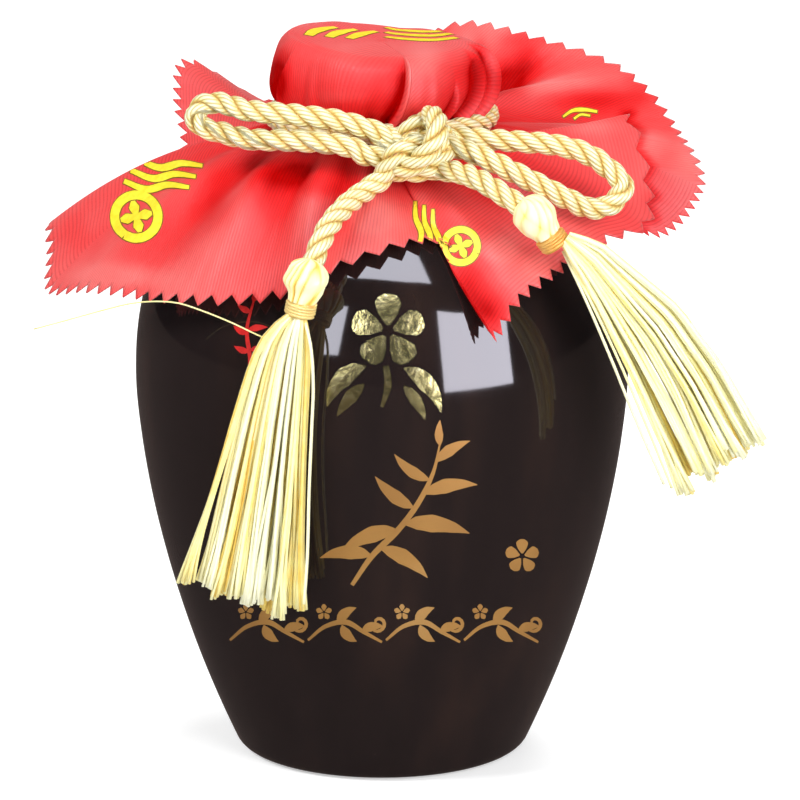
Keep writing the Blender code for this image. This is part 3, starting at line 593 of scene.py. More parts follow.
def turned(profile, steps):
    """Points and faces of a solid of revolution whose profile starts and ends on the axis."""
    rings = profile[1:-1]
    verts = [(0.0, 0.0, profile[0][1])]
    for radius, height in rings:
        verts += [(*around((0, 0), radius, math.tau * k / steps), height) for k in range(steps)]
    verts.append((0.0, 0.0, profile[-1][1]))
    last = len(verts) - 1
    faces = [(0, 1 + (k + 1) % steps, 1 + k) for k in range(steps)] + walls(1, len(rings), steps)
    return verts, faces + [(last - steps + k, last - steps + (k + 1) % steps, last) for k in range(steps)]


jar = piece("jar_glazed", *turned(jar_profile(), JAR_STEPS), GLAZE, "jar", "dark_glaze", "jar_body",
            clean=lambda bm: bmesh.ops.recalc_face_normals(bm, faces=bm.faces))
jar.data.set_sharp_from_angle(angle=math.radians(60))


def jar_hit(px, py):
    """Where a pixel meets the jar's outside, and the outward direction there."""
    way = ray(px, py)

    def outside(t):
        place = CAMERA_PLACE + way * t
        return math.hypot(place.x, place.y) > jar_radius(place.z), place

    high = (IN_FRONT - CAMERA_PLACE.y) / way.y
    clear, place = outside(high)
    while clear and place.y < 0.0:
        high += SEARCH_STEP
        clear, place = outside(high)
    low = high - SEARCH_STEP
    for _ in range(24):
        t = (low + high) / 2
        clear, place = outside(t)
        low, high = (t, high) if clear else (low, t)
    slope = (jar_radius(place.z + SLOPE_REACH) - jar_radius(place.z - SLOPE_REACH)) / (2 * SLOPE_REACH)
    flat = Vector((place.x, place.y, 0.0)).normalized()
    return place, Vector((flat.x, flat.y, -slope)).normalized()


# Ornament: strokes laid on a surface


class Strokes:
    """Flat strokes, drawn in two dimensions and laid a little over a surface."""

    ACROSS = 5
    PETAL = ((0, 0.05), (0.35, 0.26), (0.7, 0.36), (0.92, 0.27), (1, 0.12))

    def __init__(self, lay, lift, scale=1.0):
        self.lay, self.lift, self.scale = lay, lift, scale
        self.verts, self.faces = [], []

    def stroke(self, points, widths, grow=0.0, step=3.0, size=1.0):
        """A stroke through the points. Widths are (share of its length, half width in sizes)."""
        shares, wide = np.array(widths, float).T
        line = through(points, step * self.scale)
        half = np.interp(np.linspace(0.0, 1.0, len(line)), shares, wide * size) + grow
        along = np.gradient(line, axis=0)
        along /= np.maximum(np.linalg.norm(along, axis=1), 1e-12)[:, None]
        if grow:
            line[0] -= along[0] * grow
            line[-1] += along[-1] * grow
        side = np.stack([-along[:, 1], along[:, 0]], axis=1)
        steps = np.linspace(-1.0, 1.0, self.ACROSS)
        rows = [[self.lay(*map(float, point + out * reach * share)) for share in steps]
                for point, out, reach in zip(line, side, half)]
        for low, high in zip(rows, rows[1:]):
            for k in range(self.ACROSS - 1):
                quad = (low[k], low[k + 1], high[k + 1], high[k])
                if all(quad):
                    self.faces.append(tuple(range(len(self.verts), len(self.verts) + 4)))
                    self.verts += [place + normal * self.lift for place, normal in quad]

    def leaf(self, start, angle, length, width, bend=0.0):
        """A pointed leaf from a start, in a direction."""
        points = [around(start, length * share, math.radians(angle + bend * share))
                  for share in np.linspace(0.0, 1.0, 6)]
        self.stroke(points, ((0, 0.04), (0.18, 0.36), (0.42, 0.5), (0.75, 0.30), (1, 0.02)), size=width)

    def curl(self, centre, radius, start, turns, width):
        """A spiral that opens outwards."""
        start = math.radians(start)
        points = [around(centre, radius * (0.12 + 0.88 * share), start + share * turns * math.tau)
                  for share in np.linspace(0.0, 1.0, int(12 * abs(turns)) + 2)]
        self.stroke(points, ((0, 0.3), (0.3, 0.5), (0.8, 0.5), (1, 0.2)), size=width)

    def blossom(self, x, y, size):
        """Five petals round a middle."""
        for angle in range(-90, 270, 72):
            away = math.radians(angle)
            start = around((x, y), 0.16 * size, away)
            points = [around(start, 0.84 * size * share, away) for share in np.linspace(0.0, 1.0, 5)]
            self.stroke(points, self.PETAL, step=2.0, size=size)

    def make(self, name, finish, body, slot):
        return piece(name, self.verts, self.faces, finish, body, slot,
                     clean=lambda bm: bmesh.ops.remove_doubles(bm, verts=bm.verts, dist=1e-6))


PRINT_LIFT = 0.00006

pen = Strokes(jar_hit, PRINT_LIFT)
pen.blossom(388, 331, 37)
for start, angle, length, width, bend in (
    ((366, 366), 168, 56, 19, -34), ((404, 368), 20, 58, 18, 30), ((364, 384), 140, 42, 14, -10),
    ((404, 386), 44, 40, 13, 14),
):
    pen.leaf(start, angle, length, width, bend)
pen.stroke([(386, 366), (388, 384), (382, 407)], [(0, 3.0), (0.5, 3.6), (1, 1.6)])
pen.make("ornament_blossom", FOIL, "jar", "dark_glaze")

pen = Strokes(jar_hit, PRINT_LIFT)
pen.stroke([(352, 585), (372, 556), (398, 530), (420, 500), (434, 470), (440, 443)],
           [(0, 2.0), (0.3, 3.2), (0.7, 2.6), (1, 0.8)])
for start, angle, length, width, bend in (
    ((372, 556), 200, 52, 15, -22), ((398, 530), 178, 60, 17, -18), ((414, 508), 205, 50, 14, 14),
    ((430, 480), 196, 44, 12, 20), ((380, 548), 12, 56, 16, 20), ((404, 524), -8, 66, 18, 16),
    ((424, 494), -28, 54, 15, 18), ((436, 462), -48, 40, 12, 16), ((440, 446), -100, 26, 9, 10),
):
    pen.leaf(start, angle, length, width, bend)
pen.blossom(522, 556, 17)
for x in (268, 346, 424, 502):
    pen.stroke([(x - 38, 640), (x - 20, 626), (x, 622), (x + 18, 632), (x + 36, 642)],
               [(0, 1.2), (0.5, 2.8), (1, 1.2)])
    pen.leaf((x - 8, 623), -70, 24, 11, 30)
    pen.leaf((x - 4, 625), 78, 22, 11, -30)
    pen.leaf((x + 16, 631), -38, 22, 10, 26)
    pen.curl((x + 32, 623), 9, 100, 1.1, 3.6)
    pen.blossom(x - 22, 612, 8)
pen.make("ornament_vine", GILT, "jar", "dark_glaze")

pen = Strokes(jar_hit, PRINT_LIFT)
pen.stroke([(246, 392), (250, 360), (247, 330), (254, 300)], [(0, 0.8), (0.5, 2.2), (1, 1.0)])
for start, angle, length in (
    ((247, 334), 200, 16), ((248, 330), -20, 20), ((249, 352), 190, 16), ((250, 350), -14, 18),
    ((251, 312), 196, 15), ((250, 372), 30, 16), ((253, 302), -70, 12),
):
    pen.leaf(start, angle, length, 7, 12)
pen.make("ornament_sprig", RED_INK, "jar", "dark_glaze")

# Cloth

# Hem: angles in the flat cloth, at the tie and at the hem, reach and rise in halves of the side, the power by
# which it falls, and sag
HEM = np.array((
    (200, 196, 191.8, 0.981, -0.427, 1.75, 0), (207, 202, 200.5, 0.918, -0.402, 1.7, 0),
    (215, 210, 210.9, 0.869, -0.379, 1.6, 0), (230, 226, 228.9, 0.78, -0.381, 1.6, 0),
    (245, 243, 248.5, 0.7, -0.335, 1.5, 0), (255, 254, 260, 0.66, -0.262, 1.3, 0),
    (264, 264, 277.6, 0.593, -0.211, 1.1, 0.008), (272, 271.5, 289, 0.588, -0.22, 1, 0.008),
    (281, 276, 297.5, 0.635, -0.29, 1.05, 0.006), (290, 276.6, 293.7, 0.771, -0.456, 1.2, 0),
    (297, 285, 300.5, 0.764, -0.362, 1.25, 0), (304, 294, 309, 0.765, -0.302, 1.35, 0),
    (318, 312, 325.2, 0.782, -0.227, 1.6, 0), (325, 322, 339, 0.819, -0.213, 1.7, 0),
    (331, 331, 348.5, 0.788, -0.138, 1.5, 0), (340, 342, 361.9, 0.711, 0.035, 1.3, 0),
    (348, 349, 364, 0.659, -0.108, 1.3, 0), (356, 353, 362, 0.706, -0.267, 1.4, 0),
    (366, 357, 363.3, 0.827, -0.32, 1.5, 0), (380, 372, 367.1, 0.941, -0.198, 1.4, 0),
    (388, 383, 377, 0.936, -0.102, 1.4, 0), (398, 395, 389, 0.935, 0.006, 1.4, 0),
    (408, 406, 400, 0.9, 0.088, 1.4, 0), (418, 417, 412, 0.829, 0.141, 1.4, 0),
    (428, 428, 423, 0.776, 0.17, 1.4, 0), (438, 439, 435, 0.747, 0.176, 1.4, 0),
    (448, 450, 448, 0.729, 0.09, 1.4, 0), (458, 461, 463, 0.765, -0.03, 1.4, 0.02),
    (464, 467, 476, 0.815, -0.06, 1.4, 0.06), (470, 474, 489.5, 0.914, 0.071, 1.4, 0.085),
    (478, 482, 496, 0.859, -0.02, 1.4, 0.075), (487, 490, 500.1, 0.776, -0.138, 1.4, 0.05),
    (502, 504, 511, 0.706, -0.285, 1.5, 0.015), (518, 519, 522, 0.729, -0.361, 1.5, 0),
    (534, 534, 531, 0.859, -0.349, 1.7, 0), (547, 545, 537.2, 0.967, -0.285, 1.95, 0),
    (554, 551, 544.9, 0.969, -0.349, 1.95, 0),
))
WHOLE_TURN = np.array([360.0, 360.0, 360.0, 0.0, 0.0, 0.0, 0.0])
HEM = np.vstack([HEM[-2:] - WHOLE_TURN, HEM, HEM[:2] + WHOLE_TURN])
# Pleats of the crown: angle at the tie and how far round it shifts towards the top, height share where it
# starts, depth, width in degrees at the tie, and the side that lies on top
PLEATS = (
    (274.5, 10, -0.04, 0.0036, 17, -1), (316, 23, 0, 0.0032, 8, -1), (327, 27, 0, 0.0036, 10, -1),
    (308, 7, 0.4, 0.002, 6, -1), (295, 6, 0.66, 0.0009, 6, -1), (207, 6, 0.2, 0.0027, 9, -1),
    (250, -3, 0.62, 0.0008, 8, -1), (235, -3, 0.68, 0.0007, 7, 1), (362, 10, 0.25, 0.0024, 12, 1),
    (397, 3, 0.4, 0.0014, 12, 1), (438, -6, 0.1, 0.0026, 15, 1), (464, 5, 0.45, 0.0014, 11, -1),
    (506, -5, 0.2, 0.0024, 14, -1), (532, 6, 0.5, 0.0014, 11, 1), (553, 3, 0.55, 0.001, 8, -1),
)
PLEAT_RISE = 0.45
# Soft folds of the skirt: angle in the flat cloth, width, shares where it starts, peaks and ends, and size
SOFT_FOLDS = (
    (208, 4, 0.05, 0.45, 1.4, 0.001), (218, 5.5, 0.05, 0.45, 1.4, -0.0018),
    (229, 5, 0.05, 0.35, 1.1, 0.002), (238, 4, 0, 0.3, 0.9, -0.0022), (246, 4, 0.1, 0.5, 1.1, 0.002),
    (255, 3.5, 0, 0.35, 0.9, -0.0016), (261, 2.5, 0, 0.3, 0.9, 0.0012),
    (297, 3, 0.1, 0.5, 1.4, 0.0008), (306, 4, 0.1, 0.5, 1.3, -0.0013),
    (315, 4, 0.05, 0.4, 1.2, 0.0013), (324, 3, 0.1, 0.5, 1.3, -0.001), (385, 4, 0.1, 0.5, 1.4, 0.0018),
    (393, 4, 0.05, 0.4, 1.4, -0.0018), (404, 5.5, 0, 0.3, 1.2, 0.0042), (417, 5, 0, 0.26, 1, -0.007),
    (430, 5, 0.05, 0.4, 1.3, 0.003), (443, 5, 0.1, 0.5, 1.3, -0.0012), (480, 4, 0.1, 0.4, 1.2, 0.0012),
    (510, 6, 0.1, 0.4, 1.2, -0.0016), (528, 5, 0.1, 0.5, 1.3, 0.0014),
    (543, 4, 0.1, 0.5, 1.4, -0.0012),
)
# Painted shade in the satin's hollows and painted highlights on its crests: pixel, half width and half height
# in pixels, and change of tone
PAINTED_SHADE_AND_HIGHLIGHTS = (
    (264, 182, 20, 26, -0.5), (292, 174, 30, 13, -0.55), (322, 190, 24, 9, -0.25),
    (215, 205, 22, 26, -0.24), (120, 277, 45, 12, 0.35), (372, 215, 22, 18, 0.4),
    (279, 80, 10, 26, -0.9), (343, 68, 32, 18, 0.14), (340, 97, 28, 8, 0.2), (425, 60, 18, 18, 0.22),
    (479, 70, 8, 26, -0.65), (508, 82, 20, 20, -0.6), (527, 62, 14, 14, -0.4),
    (592, 101, 46, 11, -0.55), (522, 40, 24, 10, -0.22), (640, 90, 15, 14, -0.18),
    (670, 150, 14, 20, -0.14), (502, 250, 16, 13, 0.34), (537, 268, 16, 12, 0.25),
    (468, 290, 20, 26, -0.5), (490, 312, 18, 18, -0.6), (420, 200, 12, 12, 0.2),
    (75, 235, 14, 14, -0.12), (590, 128, 26, 8, 0.14), (655, 200, 14, 12, -0.12),
)
SKIRT_TOP = 0.15715
SKIRT_ROWS = 44
TEETH = 34
TOOTH_COLUMNS = 6
TOOTH_DEPTH = 0.0024
FIRST_SIDE = 245
FIRST_CORNER = 200
CROWN_EDGE = 0.0206
CROWN_TOP = 0.1786
CROWN_FOOT = 0.1641
SWELL = 0.0030
SWELL_AZIMUTH = 168.0
HOLLOW_REACH = 0.014
STOPPER_TOP = 0.1783
STOPPER_RADIUS = 0.0219
STOPPER_EDGE = 0.0015
CLEARANCE = 0.0005
TIE_HOLLOW = 0.0009
JAR_CLEARANCE = 0.0011
CLOTH_THICKNESS = 0.00045


def hem_at(turn):
    """The hem's row at an angle of the flat cloth, on a smooth curve through the table."""
    turn = HEM[2, 0] + (turn - HEM[2, 0]) % 360.0
    at = int(np.searchsorted(HEM[:, 0], turn, side="right")) - 1
    before, start, end, after = HEM[at - 1 : at + 3]
    span = end[0] - start[0]
    t = (turn - start[0]) / span
    leave = (end - before) / (end[0] - before[0]) * span
    arrive = (after - start) / (after[0] - start[0]) * span
    hold = start * (1 - 3 * t**2 + 2 * t**3) + end * (3 * t**2 - 2 * t**3)
    return hold + leave * (t - 2 * t**2 + t**3) + arrive * (t**3 - t**2)


def ease(value, low, high):
    share = np.clip((value - low) / (high - low), 0.0, 1.0)
    return share * share * (3 - 2 * share)


def ripples(angle, *waves):
    """A sum of waves round the cloth, of (size, count in a turn, phase)."""
    return sum(size * np.cos(count * np.radians(angle) + phase) for size, count, phase in waves)


def crown_shift(tie):
    """How far round the cloth's threads run between the tie and the top."""
    at, by = zip(*sorted((where % 360, shift) for where, shift, *_ in PLEATS))
    return np.interp(tie % 360, at, by, period=360)


def crown_offset(tie, deep):
    """How far the pleats and ripples of the crown lie off its profile."""
    total = np.zeros_like(tie)
    low = float(np.clip(deep, 0.0, 1.0))
    for centre, _, start, depth, width, side in PLEATS:
        away = ((tie - centre + 180) % 360 - 180) * side
        grow = depth * float(ease(deep, start, start + PLEAT_RISE))
        under = (0.34 * low - 0.70) * np.exp(-np.abs(away) / width)
        over = (0.40 + 0.45 * low) * np.exp(-np.abs(away) / (0.9 * width))
        blend = 0.5 - 0.5 * np.tanh(away / 0.40)
        total = total + grow * (under * (1 - blend) + over * blend)
    fine = ripples(tie, (1, 17, 0.7), (0.8, 29, 2.1), (0.6, 41, 4.0))
    broad = ripples(tie, (1, 5, 1.0), (0.7, 8, 3.0))
    return total + 0.00030 * low**2 * fine + 0.00045 * low * (1 - low) * 4 * broad


def painted_crease_light(tie, deep):
    """Painted shade in the hollow beside each pleat and a painted highlight along its edge."""
    total = np.zeros_like(tie)
    for centre, _, start, depth, _, side in PLEATS:
        away = ((tie - centre + 180) % 360 - 180) * side
        grow = depth / 0.0034 * float(ease(deep, start, start + PLEAT_RISE))
        total = total - grow * np.where(away > 0, 0.50 * np.exp(-away / 4.0), 0.0)
        total = total + grow * np.where(away <= 0, 0.24 * np.exp(away / 2.2), 0.0)
    return total


def clear_of_stopper(radius, height):
    """Moves points of the cloth that lie too near the stopper's cap or the lip out to the clearance."""
    inner, top = STOPPER_RADIUS - STOPPER_EDGE, STOPPER_TOP - STOPPER_EDGE
    out, up = np.maximum(radius - inner, 0.0), np.maximum(height - top, 0.0)
    far = np.maximum(np.hypot(out, up), 1e-9)
    push = np.where(far < STOPPER_EDGE + CLEARANCE, (STOPPER_EDGE + CLEARANCE) / far, 1.0)
    radius = np.where((out > 0) & (push > 1), inner + out * push, radius)
    height = np.where((up > 0) & (push > 1), top + up * push, height)
    low = (height <= top) & (radius < STOPPER_RADIUS + CLEARANCE)
    return np.where(low, STOPPER_RADIUS + CLEARANCE, radius), height


def crown_profile():
    """Points of (radius, height) from near the centre down to the skirt, and their run and depth share."""
    marks = ((0.0025, 0.1793), (0.006, 0.1793), (0.010, 0.17925), (0.014, 0.1792), (0.018, 0.1791),
             (CROWN_EDGE, 0.17895), (0.0232, 0.1783), (0.0251, 0.1772), (0.0266, 0.1746), (0.02745, 0.1710),
             (0.0272, 0.1682), (0.0262, 0.1659), (0.0246, CROWN_FOOT), (0.0236, 0.1630), (0.0229, 0.1610),
             (0.0236, 0.1588), (0.0250, 0.1577), (RING, SKIRT_TOP))
    line = through(marks, 0.0007)
    run = run_of(line)
    at_top = run[int(np.argmax(line[:, 0] > CROWN_EDGE))]
    at_tie = run[int(np.argmin(np.abs(line[:, 1] - CROWN_FOOT) + (line[:, 0] < 0.022) * 1.0))]
    return line, run, np.clip((run - at_top) / (at_tie - at_top), 0.0, 1.4)


def polar(radius, angle, *more):
    """Places at a radius and an angle in radians."""
    return np.stack([radius * np.cos(angle), radius * np.sin(angle), *more], axis=1)


def hem_points():
    """The hem's points: their angles in the flat cloth, and from 0 to 1 how near each is to a tooth's tip."""
    side = TEETH * TOOTH_COLUMNS
    number = np.arange(4 * side)
    place = (number % side / side * 2 - 1) * CLOTH_HALF
    turns = FIRST_SIDE + 90 * (number // side) + np.degrees(np.arctan2(place, CLOTH_HALF))
    return turns, 1 - np.abs(2 * (number / TOOTH_COLUMNS % 1.0) - 1)


def swell_share(radius, height):
    """How much of the crown's one-sided swell a ring takes: most at the top's edge, none below the waist."""
    if height > CROWN_TOP:
        return 0.85 * min(1.0, radius / CROWN_EDGE) ** 1.5
    return float(np.interp(height, [0.1710, 0.1746, 0.1784], [0.0, 0.45, 1.0]))


def crown_rings(tie, flat_turns):
    """Rings down the crown and through the tie: their places, places in the flat cloth and tones, which carry
    painted shade and highlights.
    """
    line, run, deep = crown_profile()
    along = np.gradient(line, axis=0)
    along /= np.linalg.norm(along, axis=1)[:, None]
    grid, flat, tones = [], [], []
    for (radius, height), (out, up), far, level in zip(line, along, run + line[0, 0], deep):
        low = float(min(level, 1.0))
        offset = crown_offset(tie, low)
        # Painted shade: darker down the crown towards the tie and in the pleats' hollows, paler where the
        # pleats stand out.
        tone = 0.72 - 0.30 * float(ease(level, 0.10, 0.95)) + 60 * offset * (level <= 1.0)
        tones.append(tone + painted_crease_light(tie, low))
        if level > 1.0:
            hold = max(0.0, 1 - (level - 1) / 0.25)
            offset = np.maximum(np.minimum(offset, 0.0) * (0.35 + 0.65 * hold), -TIE_HOLLOW)
        wide, tall = clear_of_stopper(radius - up * offset, height + out * offset)
        angle = np.radians(tie + crown_shift(tie) * (1 - low**2.4))
        swell = SWELL * np.maximum(0.0, np.cos(angle - math.radians(SWELL_AZIMUTH)))
        grid.append(polar(wide, angle, tall + swell * swell_share(radius, height)))
        flat.append(polar(far, flat_turns))
    return grid, flat, tones, far


def make_cloth():
    """The cover as one surface: rings of points down the crown, through the tie and out to the pinked hem."""
    turns, tips = hem_points()
    count, flat_turns = len(turns), np.radians(turns)
    _, tie, hem, reach, rise, fall, sag = np.array([hem_at(turn) for turn in turns]).T
    edge = CLOTH_HALF / np.cos(np.radians((turns - FIRST_CORNER) % 90 - 45))
    end = 1 + (tips - 0.55) * TOOTH_DEPTH / np.hypot(reach * CLOTH_HALF - RING, rise * CLOTH_HALF)
    grid, flat, tones, far = crown_rings(tie, flat_turns)
    first = len(grid)
    for row in range(1, SKIRT_ROWS + 1):
        share = row / SKIRT_ROWS * end
        radius = RING + (reach * CLOTH_HALF - RING) * share
        height = SKIRT_TOP + (rise * share**fall - sag * 4 * share * (1 - share)) * CLOTH_HALF
        grid.append(polar(radius, np.radians(tie + (hem - tie) * share), height))
        flat.append(polar(far + (edge - far) * share, flat_turns))
    grid = np.array(grid)
    tones += wrinkle(grid, first, turns)
    verts = [(0.0, 0.0, CROWN_HEIGHT + 0.0003)] + grid.reshape(-1, 3).tolist()
    faces = [(0, 1 + j, 1 + (j + 1) % count) for j in range(count)]
    faces += walls(1, len(grid), count, inward=True)
    # Painted shade where nearby cloth closes off the air, and painted shade and highlights at listed pixels.
    tones = np.array(tones) - 0.75 * hollows(verts, faces, grid) + painted_shade_and_highlights(grid, turns)
    weave = np.repeat(np.clip(0.5 + (np.arange(len(grid)) - first + 6) / 12, 0.5, 0.72), count)
    return piece("cover_cloth_satin", verts, faces, SATIN, "cover", "red_satin", "cover_cloth",
                 np.vstack([[0.0, 0.0], np.array(flat).reshape(-1, 2)]) * 1000,
                 weave=np.concatenate([[0.5], weave]),
                 tone=np.clip(np.concatenate([[0.6], tones.ravel()]), 0, 1))


def upward(grid):
    """The upper side's direction at each point of the cloth, and the way round it."""
    across = np.roll(grid, -1, axis=1) - np.roll(grid, 1, axis=1)
    normal = np.cross(np.gradient(grid, axis=0), across)
    return [v / np.maximum(np.linalg.norm(v, axis=2), 1e-9)[..., None] for v in (normal, across)]


def wrinkle(grid, first, turns):
    """Small folds out from the tie, a loose wave along the hem and the soft folds, and their tones: painted
    shade near the tie and in the folds' hollows, painted highlights on their crests and paler towards the hem.
    """
    rows = len(grid) - first
    normal, _ = upward(grid)
    fine = ripples(turns, (1, 19, 0.4), (0.8, 27, 1.9), (0.7, 37, 3.3), (0.5, 53, 0.0))
    broad = ripples(turns, (1, 9, 2.2), (0.7, 14, 0.5))
    tones = []
    for k in range(rows):
        share = (k + 1) / rows
        small = 0.00030 * ease(share, 0.0, 0.10) * math.exp(-share * 3.2)
        lift = small * fine + 0.00045 * ease(share, 0.15, 0.8) * broad
        for centre, wide, low, peak, high, size in SOFT_FOLDS:
            swell = size * ease(share, low, peak) * (1 - ease(share, peak, high))
            away = (turns - centre + 180) % 360 - 180
            lift = lift + swell * np.exp(-((away / wide) ** 2))
        row = grid[first + k]
        row += normal[first + k] * lift[:, None]
        on_jar = np.array([shoulder(r, JAR_CLEARANCE) for r in np.hypot(row[:, 0], row[:, 1])])
        row[:, 2] = np.maximum(row[:, 2], on_jar)
        # Painted shade and highlights: paler on raised folds and towards the hem, darker in hollows and near
        # the tie.
        tones.append(0.59 + 0.24 * share + 110 * lift - 0.34 * math.exp(-share * 6.0))
    return tones


def hollows(verts, faces, grid):
    """How much of the air over each point of the cloth is closed off by cloth nearby, from 0 to 1, which
    darkens the cloth's tone as painted shade.
    """
    tree = BVHTree.FromPolygons(verts, faces)
    normal, across = upward(grid)
    third = np.cross(normal, across)
    looks = [(0.0, 0.0, 1.0)]
    looks += [(*around((0, 0), 0.60, k * math.tau / 4), 0.80) for k in range(4)]
    looks += [(*around((0, 0), 0.90, (k + 0.5) * math.tau / 6), 0.44) for k in range(6)]
    closed = np.zeros(grid.shape[:2])
    start = (grid + normal * 0.0005).tolist()
    for x, y, z in looks:
        ways = (across * x + third * y + normal * z).tolist()
        for i, j in np.ndindex(closed.shape):
            far = tree.ray_cast(start[i][j], ways[i][j], HOLLOW_REACH)[3]
            if far is not None:
                closed[i, j] += z * (1 - far / HOLLOW_REACH)
    return closed / sum(look[2] for look in looks)


def painted_shade_and_highlights(grid, turns):
    """Painted shade in hollows and painted highlights on crests, and a painted shadow behind the teeth of the
    front layer.
    """
    x, y = pixels_of(grid)
    total = np.zeros_like(x)
    for px, py, wide, tall, change in PAINTED_SHADE_AND_HIGHLIGHTS:
        total += change * np.exp(-(((x - px) / wide) ** 2) - ((y - py) / tall) ** 2)
    # Painted shadow of the front layer's teeth on the cloth behind them.
    front = (turns >= 322) & (turns <= 341)
    behind = np.flatnonzero((turns >= 347) & (turns <= 470))
    near = np.hypot(x[:, behind, None] - x[-1, front], y[:, behind, None] - y[-1, front]).min(axis=2)
    total[:, behind] -= 0.55 * np.exp(-((near / 5.5) ** 2))
    return total


cloth = make_cloth()
shell = cloth.modifiers.new("thickness", "SOLIDIFY")
shell.thickness = CLOTH_THICKNESS
shell.offset = 0.0
cloth_tree = BVHTree.FromObject(cloth, bpy.context.evaluated_depsgraph_get())


def on_cloth(start, way):
    """Where a ray meets the cloth, and the side that faces it."""
    place, normal, _, _ = cloth_tree.ray_cast(start, way)
    if place is None:
        return None
    return place, -normal if normal.dot(way) > 0 else normal


def flank_motif(pen, x, y, size, turn, grow):
    """Three combed waves beside a lattice rosette."""
    cosine, sine = around((0, 0), 1.0, math.radians(turn))

    def at(u, v):
        return x + size * (u * cosine - v * sine), y + size * (u * sine + v * cosine)

    def draw(points, *widths):
        pen.stroke(points, widths, grow, step=2.0, size=size)

    for k in range(3):
        wave = ((-1.24, -0.62), (-1.04, -0.20), (-0.74, 0.10), (-0.62, 0.62))
        draw([at(u + 0.27 * k, v) for u, v in wave], (0, 0.04), (0.5, 0.08), (1, 0.05))
    draw([at(*around((0.42, 0.0), 0.46, t)) for t in np.linspace(0, math.tau, 17)], (0, 0.095), (1, 0.095))
    for k in range(4):
        start = at(0.42, 0.0)
        end = around(start, 0.34 * size, math.radians(turn + 45 + 90 * k))
        middle = ((start[0] + end[0]) / 2, (start[1] + end[1]) / 2)
        draw([start, middle, end], (0, 0.04), (0.6, 0.115), (1, 0.04))


def print_cloth(name, finish, lift, grow):
    """The prints on the flaps, drawn in pixels, and on the crown, drawn in plan."""
    pen = Strokes(lambda px, py: on_cloth(CAMERA_PLACE, ray(px, py)), lift)
    flank_motif(pen, 147, 200, 47, 122, grow)
    flank_motif(pen, 447, 240, 36, 24, grow)
    pen.stroke([(563, 117), (572, 111), (585, 110), (597, 112)], [(0, 1.0), (0.5, 2.0), (1, 1.2)],
               grow, step=2.0)
    pen.stroke([(574, 119), (580, 115), (590, 116)], [(0, 1.2), (1, 1.0)], grow, step=2.0)
    pen.make(name, finish, "cover", "red_satin")
    pen = Strokes(lambda x, y: on_cloth(Vector((x, y, 0.3)), Vector((0, 0, -1))), lift, PIXEL)
    for k in range(3):
        x = -0.0160 + 0.0050 * k
        pen.stroke([(x - 0.0020, -0.0030 + 0.0012 * k), (x - 0.0006, 0.0030), (x + 0.0020, 0.0080),
                    (x + 0.0046, 0.0110)], [(0, 0.0011), (0.5, 0.0016), (1, 0.0009)], grow * PIXEL)
    for k in range(3):
        y = 0.0010 + 0.0062 * k
        pen.stroke([(0.0010, y + 0.0040), (0.0060, y + 0.0010), (0.0125, y),
                    (0.0185 - 0.0012 * k, y + 0.0040)], [(0, 0.0009), (0.5, 0.0018), (1, 0.0011)],
                   grow * PIXEL)
    pen.make(name + "_top", finish, "cover", "red_satin")


print_cloth("cloth_print_edge", INK_EDGE, lift=0.00005, grow=0.9)
print_cloth("cloth_print", INK, lift=0.00011, grow=0.0)

# Tassels

BAND_RADIUS = 0.00335
BAND_TURNS = 4
BAND_WIRE = 0.00040
HEAD_ROWS = 46
HEAD_STEPS = 150
HEAD_PROFILE = ((0.0003, 0.00505), (0.0022, 0.0046), (0.0040, 0.0031), (0.0050, 0.0005), (0.0049, -0.0012),
                (0.0043, -0.0028), (0.0037, -0.0042), (BAND_RADIUS, -0.0056))
GOLDEN_ANGLE = 2.399963
THREAD_POINTS = 17
THREAD_SIDES = 5
SKIRT_DEPTH = 0.0022
THREAD_CLEARANCE = 0.0008
SHOULDER_SEEN = 0.150
HEAD_LEVEL = 0.135
# How widely a clump's threads fan at shares down the skirt
FAN = ((0.0, 0.25, 0.5, 0.8, 1.0, 1.1), (1.9, 1.45, 0.95, 0.78, 1.05, 1.2))
# The skirts' two edges: share down, and the pixels of the left and of the right edge
LEFT_EDGES = (
    (0, 289, 312, 306, 314), (0.1, 265, 333, 309, 338), (0.2, 250, 364, 309.5, 368),
    (0.38, 233, 418, 308, 422), (0.7, 208, 508, 306, 520), (1, 187, 583, 304, 608),
)
RIGHT_EDGES = (
    (0, 561, 245, 571, 232), (0.12, 579, 274, 602, 244), (0.27, 598, 309, 634, 270),
    (0.5, 624, 364, 680, 306), (0.75, 651, 422, 721, 360), (1, 681, 486, 760, 432),
)
# Threads that hang apart from the rest of the skirts: radius, tone and route
LEFT_STRANDS = (
    (0.0002, 0.45, (277, 343, -0.0612), (262, 337, -0.0625), (230, 322, -0.0632), (200, 310, -0.062),
     (180, 303.5, -0.06), (150, 301.5, -0.056), (128, 304, -0.052), (100, 311, -0.048),
     (60, 322, -0.044), (34, 329, -0.042)),
    (0.00042, 0.8, (304, 318, -0.0645), (310, 343, -0.0662), (313, 380, -0.0665),
     (311.5, 430, -0.0655), (309, 490, -0.065), (307, 560, -0.065), (304, 604, -0.065)),
    (0.00038, 0.7, (273, 330, -0.064), (250, 372, -0.064), (231, 430, -0.063), (210, 500, -0.0615),
     (190, 568, -0.06)),
)
RIGHT_STRANDS = (
    (0.0004, 0.8, (563, 251, -0.056), (586, 300, -0.0575), (610, 356, -0.056), (636, 420, -0.054),
     (664, 484, -0.052)),
    (0.00036, 0.55, (566, 253, -0.056), (592, 304, -0.058), (615, 352, -0.0565), (645, 422, -0.0545),
     (672, 488, -0.0525)),
    (0.00036, 0.75, (572, 236, -0.056), (606, 249, -0.056), (640, 276, -0.0555), (684, 318, -0.054),
     (716, 362, -0.0525), (744, 412, -0.051)),
)


